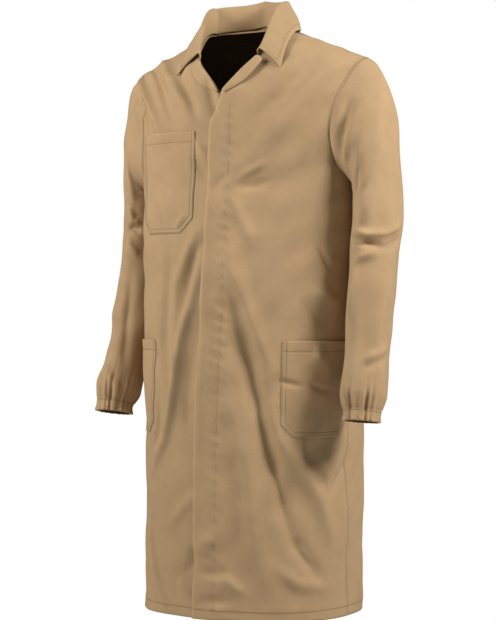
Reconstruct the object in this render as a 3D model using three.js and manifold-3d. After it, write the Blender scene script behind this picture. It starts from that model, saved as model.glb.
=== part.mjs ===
// A long, light cotton work coat: turn-down collar, fly front with hidden press studs,
// one chest pocket, two hip pockets and elasticated cuffs, in the shape it hangs in when worn.
// Millimetres, +Z up. The front faces -Y and the wearer's left is +X. Heights in this file are
// measured up from the hem; the whole coat is then lowered so that the origin lies between
// the wearer's shoulders, where the shoulder seams meet the collar.

import * as THREE from 'three';
import * as BufferGeometryUtils from 'three/addons/utils/BufferGeometryUtils.js';
import Module from 'manifold-3d';

// ---------------------------------------------------------------- driving sizes

const NECK_HEIGHT = 1034;          // hem to the neck end of the shoulder seam
const NECK_HALF_WIDTH = 75;        // neck opening, at the shoulder seam
const SHOULDER_HALF_WIDTH = 235;   // to the end of the shoulder seam
const SHOULDER_DROP = 64;          // fall of the shoulder seam from neck to tip
const SHOULDER_ROUND = 185;        // height over which the body curves in to the shoulder seam
const UNDERARM_HEIGHT = NECK_HEIGHT - 284;
const BREAK_HEIGHT = NECK_HEIGHT - 119;      // bottom of the open neck
const BACK_NECK_HEIGHT = NECK_HEIGHT + 14;

// Points round the open neck: out from the middle, height
const NECK_FOOT = [3, BREAK_HEIGHT];
const NECK_LOWER = [NECK_HALF_WIDTH - 44, NECK_HEIGHT - 88];
const NOTCH = [NECK_HALF_WIDTH - 15, NECK_HEIGHT - 58];      // where collar and lapel part
const NECK_UPPER = [NECK_HALF_WIDTH - 4, NECK_HEIGHT - 26];

const CLOTH = 1.5;                 // thickness of one ply of cloth with its seam turnings
const SEAM_GAP = 0.4;              // clearance left along a seam between two pieces
const PLY_GAP = 0.4;               // clearance left between two plies that lie face to face
const BACK_LAP = 0.002;            // turn by which each half of the back passes the middle
const BOXINESS = 2.4;              // exponent of the body's rounded section, 2 is an ellipse

// Body section at a few depths below the neck: half width, depth of the front, depth of the back
const SECTIONS = [
  [NECK_HEIGHT, 193, 160, 180],
  [714, 194, 149, 180],
  [554, 205, 136, 152],
  [394, 210, 123, 130],
  [244, 219, 108, 128],
  [34, SHOULDER_HALF_WIDTH + 8, 106, 118],
  [-266, SHOULDER_HALF_WIDTH + 15, 106, 118],
].map(([drop, ...size]) => [NECK_HEIGHT - drop, ...size]);

// Front edge and fly
const LEFT_EDGE = -20;             // front edge of the wearer's left side, which lies on top
const RIGHT_EDGE = 20;             // front edge of the wearer's right side, underneath
const FLY_WIDTH = 42;              // front edge to the line of stitching that holds the fly strip
const FLY_TURNING = 16;            // how far the fly strip reaches past that stitching
const STUD_GAP = 3.4;              // room between the fly strip and the right side for a stud
const OVERLAP_EASE = 48;           // width over which the left side settles back to the body
// The part of each front that folds back: its front edge, its fold line's distance out at the
// hem and at the neck's break, the height where the fold turns in to the front edge, and its top.
// The right one ends lower, to clear the standing corner of the left front as both open.
const LEFT_FLAP = {
  edge: LEFT_EDGE, fold: [125, 48], shoulder: BREAK_HEIGHT - 80, top: BREAK_HEIGHT - 10,
};
const RIGHT_FLAP = {
  edge: RIGHT_EDGE, fold: [-118, -14], shoulder: BREAK_HEIGHT - 130, top: BREAK_HEIGHT - 60,
};
const FLAP_TOP_GAP = 6;            // how far the folding part ends below its top
const FOLD_GAP = 0.6;              // clearance along a fold line
const TOP_EDGE_LEAN = 0.3;         // lean outwards of the front edge above the folding part
const STRIP_START = 8;             // height above the hem where fly strip and facing begin
const FACING_REACH = 32;           // how far the right facing reaches past the middle
const FACING_INSET = 3;            // how far it stays short of the right fold line

// Press studs
const STUD_COUNT = 5;
const STUD_TOP = BREAK_HEIGHT - 108;
const STUD_PITCH = 165;
const STUD_FLANGE_RADIUS = 6;
const STUD_FLANGE = 0.9;
const STUD_KNOB_RADIUS = 2.1;
const STUD_KNOB = 1.6;
const SOCKET_RADIUS = 6.5;
const SOCKET_BORE = 2.9;
const SOCKET_DEPTH = 1.6;
const STUD_SEAT_GAP = 0.4;

// Pockets: distance out of the inner edge, width along the body, top, depth, corner cut
const CHEST_POCKET = { inner: 53, width: 138, top: NECK_HEIGHT - 185, depth: 180, corner: 26 };
const HIP_POCKET = { inner: 130, width: 148, top: NECK_HEIGHT - 554, depth: 165, corner: 22 };
const SIDE_SEAM_MARGIN = 0.045;    // turn by which a pocket stays short of the side seam
const POCKET_GAP = 1.7;            // how far a pocket stands off the front behind it

// Collar
const COLLAR_STAND = 45;           // height of the standing part at the back
const COLLAR_STAND_FRONT = 13;     // the same at the notch
const COLLAR_FALL = 44;            // how far the turned-down part reaches past the neck seam
const COLLAR_ROLL = 6;             // distance between stand and fall at the roll
const COLLAR_OFF_BODY = [2.6, 7.5];          // distance off the body at the seam and at the edge
const COLLAR_TURN = 0.42;          // share of each half of the collar that lies on the back
const COLLAR_TIP = [NECK_HALF_WIDTH + 31, NECK_HEIGHT - 83];
const COLLAR_SIDE_EDGE = [NECK_HALF_WIDTH + COLLAR_FALL * 0.55, NECK_HEIGHT - COLLAR_FALL * 0.22];
const COLLAR_BACK_EDGE = [0, BACK_NECK_HEIGHT - COLLAR_FALL * 0.62];
const COLLAR_BOW = 1.6;            // fullness of the fall's edge between shoulder and point

// Lapels: their edges from foot to notch, out from the middle and height
const LAPEL_EDGE = [
  [NECK_HALF_WIDTH - 29, NECK_HEIGHT - 102],
  [NECK_HALF_WIDTH - 5, NECK_HEIGHT - 72],
  [NECK_HALF_WIDTH - 8, NECK_HEIGHT - 62],
];
const LEFT_LAPEL_FOOT = [12, BREAK_HEIGHT - 3];
const RIGHT_LAPEL_FOOT = [8, BREAK_HEIGHT - 1];

// Neck facing and hanger loop
const FACING_DEPTH = 45;           // depth of the back neck facing below the neck seam
const FACING_BELOW_SEAM = 3;
const FACING_GAP = 3.2;            // how far the facing lies off the back
const LOOP_WIDTH = 15;
const LOOP_LENGTH = 44;
const LOOP_TAPE = 3.5;
const LOOP_THICKNESS = 1.4;
const LOOP_GAP = 4.2;
const LOOP_BELOW_SEAM = 10;

// Sleeves. Each station is: depth below the neck, distance out past the shoulder tip, distance
// back, half width, half depth
const LEFT_ARM = [
  [318, 22, -6, 36, 64],
  [394, 22, -16, 37, 60],
  [484, 22, -33, 38, 55],
  [579, 25, -52, 35, 48],
  [642, 27, -68, 38, 46],
  [668, 27, -74, 31, 36],
  [690, 27, -77, 30, 35],
];
const RIGHT_ARM = [
  [318, 20, 46, 36, 64],
  [394, 19, 36, 37, 60],
  [484, 19, 16, 38, 55],
  [579, 22, -16, 35, 48],
  [642, 26, -44, 38, 46],
  [668, 27, -53, 31, 36],
  [690, 27, -57, 30, 35],
];
// The sleeve head is a slanting ring, and its back follows a share of the upper arm's lean
const SLEEVE_HEAD = { drop: 234, out: 17, across: 30, slant: 62, halfDepth: 68, lean: 0.8 };
// The cap from armhole to head, each pair at the shoulder and at the underarm: how steeply the
// cloth leaves the seam, how far it runs on, and how far above the head it turns down
const CAP = { gap: 0.9, fall: [-0.42, 0.05], run: [30, 6], turn: [42, 10], tuck: [-1, 0] };
const CUFF_HEIGHT = 20;            // depth of the turned-up hem that holds the elastic
const ELASTIC = 1.2;
const ELASTIC_HEIGHT = 13;
// Armhole points: distance in from the shoulder tip, depth below the neck
const FRONT_ARMHOLE = [[31, 259], [41, 214], [39, 166], [26, 114]];
const BACK_ARMHOLE = [[23, 259], [29, 214], [27, 166], [18, 114]];

// ---------------------------------------------------------------- small tools

const lerp = (a, b, t) => a + (b - a) * t;
const smooth = (t) => t * t * (3 - 2 * t);
const ramp = (a, b, x) => smooth(Math.min(1, Math.max(0, (x - a) / (b - a))));
const steps = (count, from = 0, to = 1) =>
  Array.from({ length: count + 1 }, (_, i) => lerp(from, to, i / count));
const signedPower = (x, p) => Math.sign(x) * Math.abs(x) ** p;

// Smooth curve through rows of numbers, looked up by the first number of each row
function throughRows(rows, x) {
  const last = rows.length - 2;
  let i = 0;
  while (i < last && x > rows[i + 1][0]) i += 1;
  const slope = (a, b, k) => (rows[b][k] - rows[a][k]) / (rows[b][0] - rows[a][0]);
  const span = rows[i + 1][0] - rows[i][0];
  const t = (x - rows[i][0]) / span;
  return rows[i].slice(1).map((value, n) => {
    const k = n + 1;
    const m0 = slope(Math.max(i - 1, 0), i + 1, k) * span;
    const m1 = slope(i, Math.min(i + 2, rows.length - 1), k) * span;
    const rise = rows[i + 1][k] - value;
    return value + t * (m0 + t * (3 * rise - 2 * m0 - m1 + t * (m0 + m1 - 2 * rise)));
  });
}

// Smooth curve through points at equal steps of t, from 0 to 1
function throughPoints(points, t) {
  const rows = points.map((p, i) => [i / (points.length - 1), ...p]);
  return throughRows(rows, t);
}

// A closed solid between two grids of points, [row][column]. A ring's last column meets its first.
function solidBetween(outer, inner, ring = false) {
  const rows = outer.length;
  const cols = outer[0].length;
  const positions = [...outer.flat(), ...inner.flat()].flatMap((p) => [p.x, p.y, p.z]);
  const at = (side, i, j) => side * rows * cols + i * cols + (j % cols);
  const index = [];
  const quad = (a, b, c, d) => index.push(a, b, c, a, c, d);
  const across = ring ? cols : cols - 1;
  for (let i = 0; i < rows - 1; i += 1) {
    for (let j = 0; j < across; j += 1) {
      quad(at(0, i, j), at(0, i, j + 1), at(0, i + 1, j + 1), at(0, i + 1, j));
      quad(at(1, i, j), at(1, i + 1, j), at(1, i + 1, j + 1), at(1, i, j + 1));
    }
    if (!ring) {
      quad(at(0, i, 0), at(0, i + 1, 0), at(1, i + 1, 0), at(1, i, 0));
      const end = cols - 1;
      quad(at(0, i, end), at(1, i, end), at(1, i + 1, end), at(0, i + 1, end));
    }
  }
  for (let j = 0; j < across; j += 1) {
    const top = rows - 1;
    quad(at(0, 0, j), at(1, 0, j), at(1, 0, j + 1), at(0, 0, j + 1));
    quad(at(0, top, j), at(0, top, j + 1), at(1, top, j + 1), at(1, top, j));
  }
  const geometry = new THREE.BufferGeometry();
  geometry.setAttribute('position', new THREE.Float32BufferAttribute(positions, 3));
  geometry.setIndex(index);
  return facingOut(geometry);
}

// Turns a closed geometry's faces the right way out
function facingOut(geometry) {
  const p = geometry.getAttribute('position');
  const index = geometry.getIndex().array;
  const [a, b, c] = [new THREE.Vector3(), new THREE.Vector3(), new THREE.Vector3()];
  let volume = 0;
  for (let i = 0; i < index.length; i += 3) {
    a.fromBufferAttribute(p, index[i]);
    b.fromBufferAttribute(p, index[i + 1]);
    c.fromBufferAttribute(p, index[i + 2]);
    volume += a.dot(b.cross(c));
  }
  if (volume < 0) geometry.setIndex(Array.from(index).reverse());
  return geometry;
}

const wasm = await Module();
wasm.setup();

function toSolid(geometry) {
  const bare = geometry.clone();
  bare.deleteAttribute('normal');
  bare.deleteAttribute('uv');
  const merged = BufferGeometryUtils.mergeVertices(bare, 1e-4);
  return new wasm.Manifold(new wasm.Mesh({
    numProp: 3,
    vertProperties: new Float32Array(merged.getAttribute('position').array),
    triVerts: new Uint32Array(merged.getIndex().array),
  }));
}

function fromSolid(solid) {
  const mesh = solid.getMesh();
  const geometry = new THREE.BufferGeometry();
  geometry.setAttribute('position', new THREE.Float32BufferAttribute(mesh.vertProperties, 3));
  geometry.setIndex(Array.from(mesh.triVerts));
  return geometry;
}

const joined = (a, b) => fromSolid(toSolid(a).add(toSolid(b)));

// ---------------------------------------------------------------- the body's surface

// Height of the shoulder line over a point that lies x out from the middle
const SHOULDER_SLOPE = SHOULDER_DROP / (SHOULDER_HALF_WIDTH - NECK_HALF_WIDTH);
const shoulderLine = (x) => NECK_HEIGHT - SHOULDER_SLOPE * (Math.abs(x) - NECK_HALF_WIDTH);

// The surface has two coordinates. u runs round the body: 0 at the middle of the front, a
// quarter turn at the wearer's left side, half a turn at the middle of the back. v runs up it:
// it is the height as far as the body is upright, and then the arc over to the shoulder line.
function bodyPoint(u, v, target = new THREE.Vector3()) {
  const [halfWidth, front, back] = throughRows(SECTIONS, v);
  const depth = Math.cos(u) >= 0 ? front : back;
  const x = halfWidth * signedPower(Math.sin(u), 2 / BOXINESS);
  const y = -depth * signedPower(Math.cos(u), 2 / BOXINESS);
  const upright = shoulderLine(x) - SHOULDER_ROUND;
  if (v <= upright) return target.set(x, y, v);
  const arc = (v - upright) / SHOULDER_ROUND;
  return target.set(x, y * Math.cos(arc), upright + SHOULDER_ROUND * Math.sin(arc));
}

// The same surface, moved out along its normal, with the front and back drawn apart at the seams
function clothPoint(u, v, out) {
  const h = 0.02;
  const here = bodyPoint(u, v);
  const round = bodyPoint(u + h, v).sub(bodyPoint(u - h, v));
  const up = bodyPoint(u, v + 1).sub(bodyPoint(u, v - 1));
  const normal = round.cross(up).normalize();
  here.addScaledVector(normal, out);
  here.y += (Math.cos(u) >= 0 ? -1 : 1) * SEAM_GAP / 2;
  return here;
}

// Surface coordinates of the point x out from the middle at a height
function bodyCoordinates(x, height, back = false) {
  const upright = shoulderLine(x) - SHOULDER_ROUND;
  const rise = Math.min(1, Math.max(0, (height - upright) / SHOULDER_ROUND));
  const v = height <= upright ? height : upright + SHOULDER_ROUND * Math.asin(rise);
  const share = Math.min(1, Math.abs(x) / throughRows(SECTIONS, v)[0]);
  const u = Math.sign(x) * Math.asin(share ** (BOXINESS / 2));
  return back ? [Math.PI - u, v] : [u, v];
}

// A sheet of cloth over part of the surface. place(s, t) gives its u and v, and out(x, height)
// says how far its outer face stands off the body.
function clothSheet(rows, cols, place, out = () => 0, ply = CLOTH) {
  const faces = [0, -ply].map((depth) => rows.map((t) => cols.map((s) => {
    const [u, v] = place(s, t);
    const on = bodyPoint(u, v);
    return clothPoint(u, v, out(on.x, on.z) + depth);
  })));
  return solidBetween(faces[0], faces[1]);
}

// ---------------------------------------------------------------- edges of the main pieces

// Rows of a front or back, as a share from the hem to the shoulder
const ROW_UNDERARM = 0.62;
const ROW_BREAK = 0.76;
const rowHeight = (t) => UNDERARM_HEIGHT * t / ROW_UNDERARM;
const breakRow = (height) => lerp(
  ROW_UNDERARM, ROW_BREAK, (height - UNDERARM_HEIGHT) / (BREAK_HEIGHT - UNDERARM_HEIGHT),
);
const flapRows = [RIGHT_FLAP.shoulder, LEFT_FLAP.shoulder, RIGHT_FLAP.top, LEFT_FLAP.top]
  .map(breakRow)
  .sort((a, b) => a - b);
const upperRows = [
  ROW_UNDERARM,
  ...flapRows.slice(0, -1),
  ...steps(2, flapRows[2], flapRows[3]).slice(1),
  ...steps(9, flapRows[3], 1).slice(1),
];
const panelRows = [...steps(8, 0, ROW_UNDERARM).slice(0, -1), ...upperRows];
const PANEL_COLUMNS = 12;

// Edge at the side: the side seam up to the underarm, then round the armhole to the shoulder tip
function outerEdge(t, back) {
  if (t <= ROW_UNDERARM) return [Math.PI / 2, rowHeight(t)];
  const control = (back ? BACK_ARMHOLE : FRONT_ARMHOLE).map(([inward, drop]) =>
    bodyCoordinates(SHOULDER_HALF_WIDTH - inward, NECK_HEIGHT - drop, back));
  const tip = bodyCoordinates(SHOULDER_HALF_WIDTH, shoulderLine(SHOULDER_HALF_WIDTH), back);
  const share = (t - ROW_UNDERARM) / (1 - ROW_UNDERARM);
  return throughPoints([[Math.PI / 2, UNDERARM_HEIGHT], ...control, tip], share);
}

// Neck edge of a front: from the break of the open neck, past the notch, to the shoulder seam
function frontNeck(t) {
  const side = [NECK_HALF_WIDTH, NECK_HEIGHT];
  return throughPoints([NECK_FOOT, NECK_LOWER, NOTCH, NECK_UPPER, side], t);
}

// Distance out of the line where a front folds back: straight up from the hem, and then in to
// the front edge below the break
function flapLine(height, { edge, fold, shoulder, top }) {
  const onFold = (z) => lerp(fold[0], fold[1], z / BREAK_HEIGHT);
  if (height <= shoulder) return onFold(height);
  return lerp(onFold(shoulder), edge, (height - shoulder) / (top - shoulder));
}

// Inner edge of the standing part of a front, as distance out and height. It follows the fold
// line and then the neck.
function frontInnerEdge(t, flap) {
  const towards = Math.sign(flap.fold[0]);
  if (t > ROW_BREAK) {
    const [x, z] = frontNeck((t - ROW_BREAK) / (1 - ROW_BREAK));
    return [towards * x, z];
  }
  const height = t <= ROW_UNDERARM ? rowHeight(t)
    : lerp(UNDERARM_HEIGHT, BREAK_HEIGHT, (t - ROW_UNDERARM) / (ROW_BREAK - ROW_UNDERARM));
  if (height <= flap.top) return [flapLine(height, flap), height];
  return [flap.edge + towards * (height - flap.top) * TOP_EDGE_LEAN, height];
}

// Places a front's points: s runs from the inner edge to the side, t from hem to shoulder
function frontPlace(flap) {
  const towards = Math.sign(flap.fold[0]);
  return (s, t) => {
    const inner = bodyCoordinates(...frontInnerEdge(t, flap));
    const outer = outerEdge(t, false);
    const shift = followShoulder(inner[0], towards * outer[0], s, t);
    return [lerp(inner[0], towards * outer[0], s), lerp(inner[1], outer[1], s) + shift];
  };
}

// Straight rows sag away from the sloping shoulder, so the upper rows are lifted to follow it
function followShoulder(from, to, s, t) {
  const wide = throughRows(SECTIONS, NECK_HEIGHT)[0];
  const line = (u) => shoulderLine(wide * Math.abs(Math.sin(u)) ** (2 / BOXINESS));
  const sag = line(lerp(from, to, s)) - lerp(line(from), line(to), s);
  return sag * ramp(ROW_BREAK, 1, t);
}

// How far the left front stands off the body, to lie over the fly strip, studs and right front
const LEFT_LIFT = STUD_GAP + 2 * CLOTH + 3 * PLY_GAP;
const leftLift = (x) => LEFT_LIFT * (1 - ramp(RIGHT_EDGE + 4, RIGHT_EDGE + 4 + OVERLAP_EASE, x));
const noLift = () => 0;

// ---------------------------------------------------------------- body pieces

const frontSide = (flap, lift) =>
  clothSheet(panelRows, steps(PANEL_COLUMNS), frontPlace(flap), lift);

// Heights of the rows of points on the part of a front that folds back
const flapHeights = ({ shoulder, top }) =>
  [...steps(9, 0, shoulder), ...steps(3, shoulder, top - FLAP_TOP_GAP).slice(1)];

// The part of a front that folds back, from its front edge to the fold
function frontEdge(flap, lift) {
  const towards = Math.sign(flap.fold[0]);
  const place = (s, height) => {
    const gap = height <= flap.shoulder ? FOLD_GAP : 2 * FOLD_GAP;
    const line = flapLine(height, flap) - towards * gap;
    return bodyCoordinates(lerp(flap.edge, line, s), height);
  };
  return clothSheet(flapHeights(flap), steps(8), place, lift);
}

// Surface coordinates of the back neck seam, from the middle to the shoulder seam
function backNeck(share, middle = Math.PI) {
  const start = bodyCoordinates(0, BACK_NECK_HEIGHT, true);
  const end = bodyCoordinates(NECK_HALF_WIDTH, NECK_HEIGHT, true);
  return [lerp(middle, end[0], share ** 0.75), lerp(start[1], end[1], share ** 1.6)];
}

// The back: two halves cut alike and joined down the middle
function back() {
  const neckStart = bodyCoordinates(0, BACK_NECK_HEIGHT, true);
  const middle = Math.PI + BACK_LAP;
  const half = (towards) => clothSheet(panelRows, steps(PANEL_COLUMNS), (s, t) => {
    const share = Math.max(0, (t - ROW_BREAK) / (1 - ROW_BREAK));
    const rise = rowHeight(t) <= UNDERARM_HEIGHT ? rowHeight(t)
      : lerp(UNDERARM_HEIGHT, neckStart[1], (t - ROW_UNDERARM) / (ROW_BREAK - ROW_UNDERARM));
    const inner = share > 0 ? backNeck(share, middle) : [middle, rise];
    const outer = outerEdge(t, true);
    const u = lerp(inner[0], outer[0], s);
    const v = lerp(inner[1], outer[1], s) + followShoulder(inner[0], outer[0], s, t);
    return [towards * u, v];
  });
  return joined(half(1), half(-1));
}

// A ply laid on the front between two distances out, from just above the hem to below the break
function frontStrip(flap, inner, outer, out) {
  const place = (s, height) => bodyCoordinates(lerp(inner, outer(height), s), height);
  const rows = [STRIP_START, ...flapHeights(flap).slice(1).filter((z) => z <= flap.shoulder)];
  return clothSheet(rows, steps(5), place, out);
}

// Strip under the left front edge that carries the studs' sockets
function flyStrip() {
  const outer = () => LEFT_EDGE + FLY_WIDTH + FLY_TURNING;
  return frontStrip(LEFT_FLAP, LEFT_EDGE + 2, outer, (x) => leftLift(x) - CLOTH - 1.5 * PLY_GAP);
}

// Turned-in ply behind the right front edge, which carries the studs
function rightFacing() {
  const outer = (z) => Math.max(-FACING_REACH, flapLine(z, RIGHT_FLAP) + FACING_INSET);
  return frontStrip(RIGHT_FLAP, RIGHT_EDGE - 1, outer, () => -CLOTH - PLY_GAP);
}

// ---------------------------------------------------------------- pockets

// A patch pocket with its lower corners cut off. The side away from the front edge is found by
// walking the pocket's width round the body.
function pocket({ inner, width, top, depth, corner }, towards) {
  const bottom = top - depth;
  const outerCoordinate = (v) => {
    let u = bodyCoordinates(inner, v)[0];
    let walked = 0;
    let here = bodyPoint(u, v);
    while (walked < width) {
      u += 0.004;
      const next = bodyPoint(u, v);
      walked += next.distanceTo(here);
      here = next;
    }
    return u;
  };
  const limit = Math.PI / 2 - SIDE_SEAM_MARGIN;
  const place = (s, t) => {
    const height = lerp(bottom, top, t);
    const from = bodyCoordinates(inner, height)[0];
    const to = Math.min(limit, outerCoordinate(height));
    const cut = Math.max(0, 1 - (height - bottom) / corner) * corner / width;
    return [towards * lerp(from, to, lerp(cut, 1 - cut, s)), height];
  };
  const cornerRow = corner / depth;
  return clothSheet([0, ...steps(4, cornerRow, 1)], steps(8), place, () => CLOTH + POCKET_GAP);
}

// ---------------------------------------------------------------- collar and lapels

// Neck seam from the left notch round the back to the right notch, with the edge that the
// collar's fall reaches beyond it
function collarStation(t) {
  const towards = t < 0.5 ? 1 : -1;
  const share = Math.abs(1 - 2 * t);
  if (share <= COLLAR_TURN) {
    const round = share / COLLAR_TURN;
    const side = bodyCoordinates(...COLLAR_SIDE_EDGE, true);
    const middle = bodyCoordinates(...COLLAR_BACK_EDGE, true);
    const edge = [lerp(Math.PI, side[0], round ** 0.8), lerp(middle[1], side[1], round ** 1.6)];
    return { seam: backNeck(round), edge, front: 0, towards };
  }
  const front = (share - COLLAR_TURN) / (1 - COLLAR_TURN);
  const side = bodyCoordinates(...COLLAR_SIDE_EDGE);
  const tip = bodyCoordinates(...COLLAR_TIP);
  const bow = COLLAR_BOW * Math.sin(Math.PI * front);
  const edge = [lerp(side[0], tip[0], front), lerp(side[1], tip[1], front) - bow];
  return { seam: bodyCoordinates(...frontNeck(lerp(1, 0.5, front))), edge, front, towards };
}

// Section of the collar at a station: up from the seam, over the roll and down to its edge
function collarSection(t, columns) {
  const station = collarStation(t);
  const at = ([u, v], out) => clothPoint(station.towards * u, v, out);
  const base = at(station.seam, COLLAR_OFF_BODY[0]);
  const edge = at(station.edge, COLLAR_OFF_BODY[1]);
  const stand = lerp(COLLAR_STAND, COLLAR_STAND_FRONT, smooth(station.front));
  const outward = edge.clone().sub(base).setZ(0).normalize();
  const lean = base.clone().addScaledVector(outward, -stand * 0.1);
  const shoulderSide = lean.clone().add(new THREE.Vector3(0, 0, stand * 0.75));
  const roll = shoulderSide.clone().addScaledVector(outward, COLLAR_ROLL * 0.7);
  roll.z += stand * 0.25;
  const over = roll.clone().addScaledVector(outward, COLLAR_ROLL);
  over.z -= stand * 0.22;
  const fall = over.clone().lerp(edge, 0.5).addScaledVector(outward, 3);
  const curve = new THREE.CatmullRomCurve3([base, shoulderSide, roll, over, fall, edge]);
  return columns.map((w) => curve.getPoint(w));
}

// One ply of the collar, between two distances from its middle surface
function collarPly(from, to) {
  const stations = steps(26);
  const columns = steps(10);
  const middle = stations.map((t) => collarSection(t, columns));
  const normalAt = (i, j) => {
    const along = middle[Math.min(i + 1, stations.length - 1)][j].clone()
      .sub(middle[Math.max(i - 1, 0)][j]);
    const across = middle[i][Math.min(j + 1, columns.length - 1)].clone()
      .sub(middle[i][Math.max(j - 1, 0)]);
    return across.cross(along).normalize();
  };
  const face = (depth) => middle.map((line, i) => line.map((p, j) =>
    p.clone().addScaledVector(normalAt(i, j), depth)));
  return solidBetween(face(from), face(to));
}

// Turned-back top of a front, between the edge of the open neck and the lapel's own edge
function lapel(towards, out, foot) {
  const place = (s, t) => {
    const [neckX, neckZ] = frontNeck(lerp(0.02, 0.47, t));
    const edge = throughPoints([foot, ...LAPEL_EDGE], t);
    const inner = bodyCoordinates(neckX + 1, neckZ);
    const outer = bodyCoordinates(...edge);
    return [towards * lerp(inner[0], outer[0], s), lerp(inner[1], outer[1], s)];
  };
  return clothSheet(steps(8), steps(4), place, () => out);
}

// ---------------------------------------------------------------- sleeves

// The armhole as a ring: down the front from the shoulder tip to the underarm, then up the back
function armholeRing(side) {
  const shares = [...upperRows].reverse();
  const down = shares.map((t) => outerEdge(t, false));
  const up = shares.slice(1, -1).reverse().map((t) => outerEdge(t, true));
  return [...down, ...up].map(([u, v]) => bodyPoint(side * u, v));
}

// Rings of points down a sleeve, from the armhole to the cuff
function sleeveRings(side, stations) {
  const start = armholeRing(side);
  const count = start.length;
  const angle = (k) => 2 * Math.PI * k / count;
  const head = SLEEVE_HEAD;
  const headBack = stations[0][2] * head.lean;
  const headRing = start.map((_, k) => new THREE.Vector3(
    side * (SHOULDER_HALF_WIDTH + head.out + head.across * Math.cos(angle(k))),
    headBack - head.halfDepth * Math.sin(angle(k)),
    NECK_HEIGHT - head.drop + head.slant * Math.cos(angle(k)),
  ));
  const cap = (share) => start.map((p, k) => {
    const low = (1 - Math.cos(angle(k))) / 2;
    const from = p.clone();
    from.x += side * CAP.gap;
    const out = new THREE.Vector3(side, 0, lerp(...CAP.fall, low));
    const near = from.clone().addScaledVector(out, lerp(...CAP.run, low));
    const far = headRing[k].clone();
    far.z += lerp(...CAP.turn, low);
    far.x += side * lerp(...CAP.tuck, low);
    return new THREE.CubicBezierCurve3(from, near, far, headRing[k]).getPoint(share);
  });
  const rings = [0, 0.22, 0.5, 0.78].map(cap);
  rings.push(headRing);
  stations.forEach(([drop, past, backward, halfWidth, halfDepth], i) => {
    const before = stations[Math.max(i - 1, 0)];
    const after = stations[Math.min(i + 1, stations.length - 1)];
    const down = new THREE.Vector3(
      side * (after[1] - before[1]), after[2] - before[2], before[0] - after[0],
    ).normalize();
    const across = new THREE.Vector3(side, 0, 0);
    across.addScaledVector(down, -across.dot(down)).normalize();
    const forward = new THREE.Vector3(0, -1, 0);
    forward.addScaledVector(down, -forward.dot(down)).normalize();
    const out = side * (SHOULDER_HALF_WIDTH + past);
    rings.push(start.map((_, k) => new THREE.Vector3(out, backward, NECK_HEIGHT - drop)
      .addScaledVector(across, halfWidth * Math.cos(angle(k)))
      .addScaledVector(forward, halfDepth * Math.sin(angle(k)))));
  });
  return rings;
}

// Moves each point of a stack of rings inwards, square to the surface
function insetRings(rings, depth) {
  const cols = rings[0].length;
  return rings.map((ring, i) => ring.map((p, k) => {
    const round = ring[(k + 1) % cols].clone().sub(ring[(k + cols - 1) % cols]);
    const along = rings[Math.min(i + 1, rings.length - 1)][k].clone()
      .sub(rings[Math.max(i - 1, 0)][k]);
    const centre = ring.reduce((sum, q) => sum.add(q), new THREE.Vector3()).divideScalar(cols);
    const normal = round.cross(along).normalize();
    if (normal.dot(centre.sub(p)) < 0) normal.negate();
    return p.clone().addScaledVector(normal, depth);
  }));
}

const tubeBetween = (rings, from, to) =>
  solidBetween(insetRings(rings, from), insetRings(rings, to), true);

// The two lowest rings of a sleeve, with the height between them cut to a band
function cuffRings(rings, low, high) {
  const bottom = rings[rings.length - 1];
  const top = rings[rings.length - 2];
  const band = (share) => bottom.map((p, k) => p.clone().lerp(top[k], share));
  const height = top[0].distanceTo(bottom[0]);
  return [high, low].map((level) => band(level / height));
}

function sleevePieces(side, stations) {
  const rings = sleeveRings(side, stations);
  const elasticFrom = CLOTH + PLY_GAP;
  const hemFrom = elasticFrom + ELASTIC + PLY_GAP;
  const elasticLow = (CUFF_HEIGHT - ELASTIC_HEIGHT) / 2;
  return {
    sleeve: tubeBetween(rings, 0, CLOTH),
    cuffElastic: tubeBetween(
      cuffRings(rings, elasticLow, elasticLow + ELASTIC_HEIGHT), elasticFrom, elasticFrom + ELASTIC,
    ),
    cuffHem: tubeBetween(cuffRings(rings, 0, CUFF_HEIGHT), hemFrom, hemFrom + CLOTH),
  };
}

// ---------------------------------------------------------------- studs and hanger loop

const studHeight = (i) => STUD_TOP - i * STUD_PITCH;

// Sets a turned shape square to the body at the middle of the front, its foot standing off by out
function onFront(profile, height, out) {
  const geometry = new THREE.LatheGeometry(profile.map(([r, z]) => new THREE.Vector2(r, z)), 20);
  const foot = clothPoint(0.0001, height, out);
  const normal = clothPoint(0.0001, height, out + 1).sub(foot).normalize();
  const upright = new THREE.Vector3(0, 1, 0);
  geometry.applyQuaternion(new THREE.Quaternion().setFromUnitVectors(upright, normal));
  geometry.translate(foot.x, foot.y, foot.z);
  return facingOut(BufferGeometryUtils.mergeVertices(stripped(geometry), 1e-4));
}

function stripped(geometry) {
  geometry.deleteAttribute('normal');
  geometry.deleteAttribute('uv');
  return geometry;
}

// Lower half of a press stud: a flange with a knob
function stud(i) {
  const flange = STUD_FLANGE_RADIUS;
  const knobTop = STUD_FLANGE + STUD_KNOB;
  const profile = [
    [0, 0], [flange, 0], [flange, STUD_FLANGE], [STUD_KNOB_RADIUS, STUD_FLANGE],
    [STUD_KNOB_RADIUS, knobTop], [0, knobTop],
  ];
  return onFront(profile, studHeight(i), STUD_SEAT_GAP);
}

// Upper half: a ring that the knob enters
function socket(i) {
  const profile = [
    [SOCKET_BORE, 0], [SOCKET_RADIUS, 0], [SOCKET_RADIUS, SOCKET_DEPTH],
    [SOCKET_BORE, SOCKET_DEPTH], [SOCKET_BORE, 0],
  ];
  const strip = LEFT_LIFT - 2 * CLOTH - 2 * PLY_GAP;
  return onFront(profile, studHeight(i), strip - STUD_SEAT_GAP - SOCKET_DEPTH);
}

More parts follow.
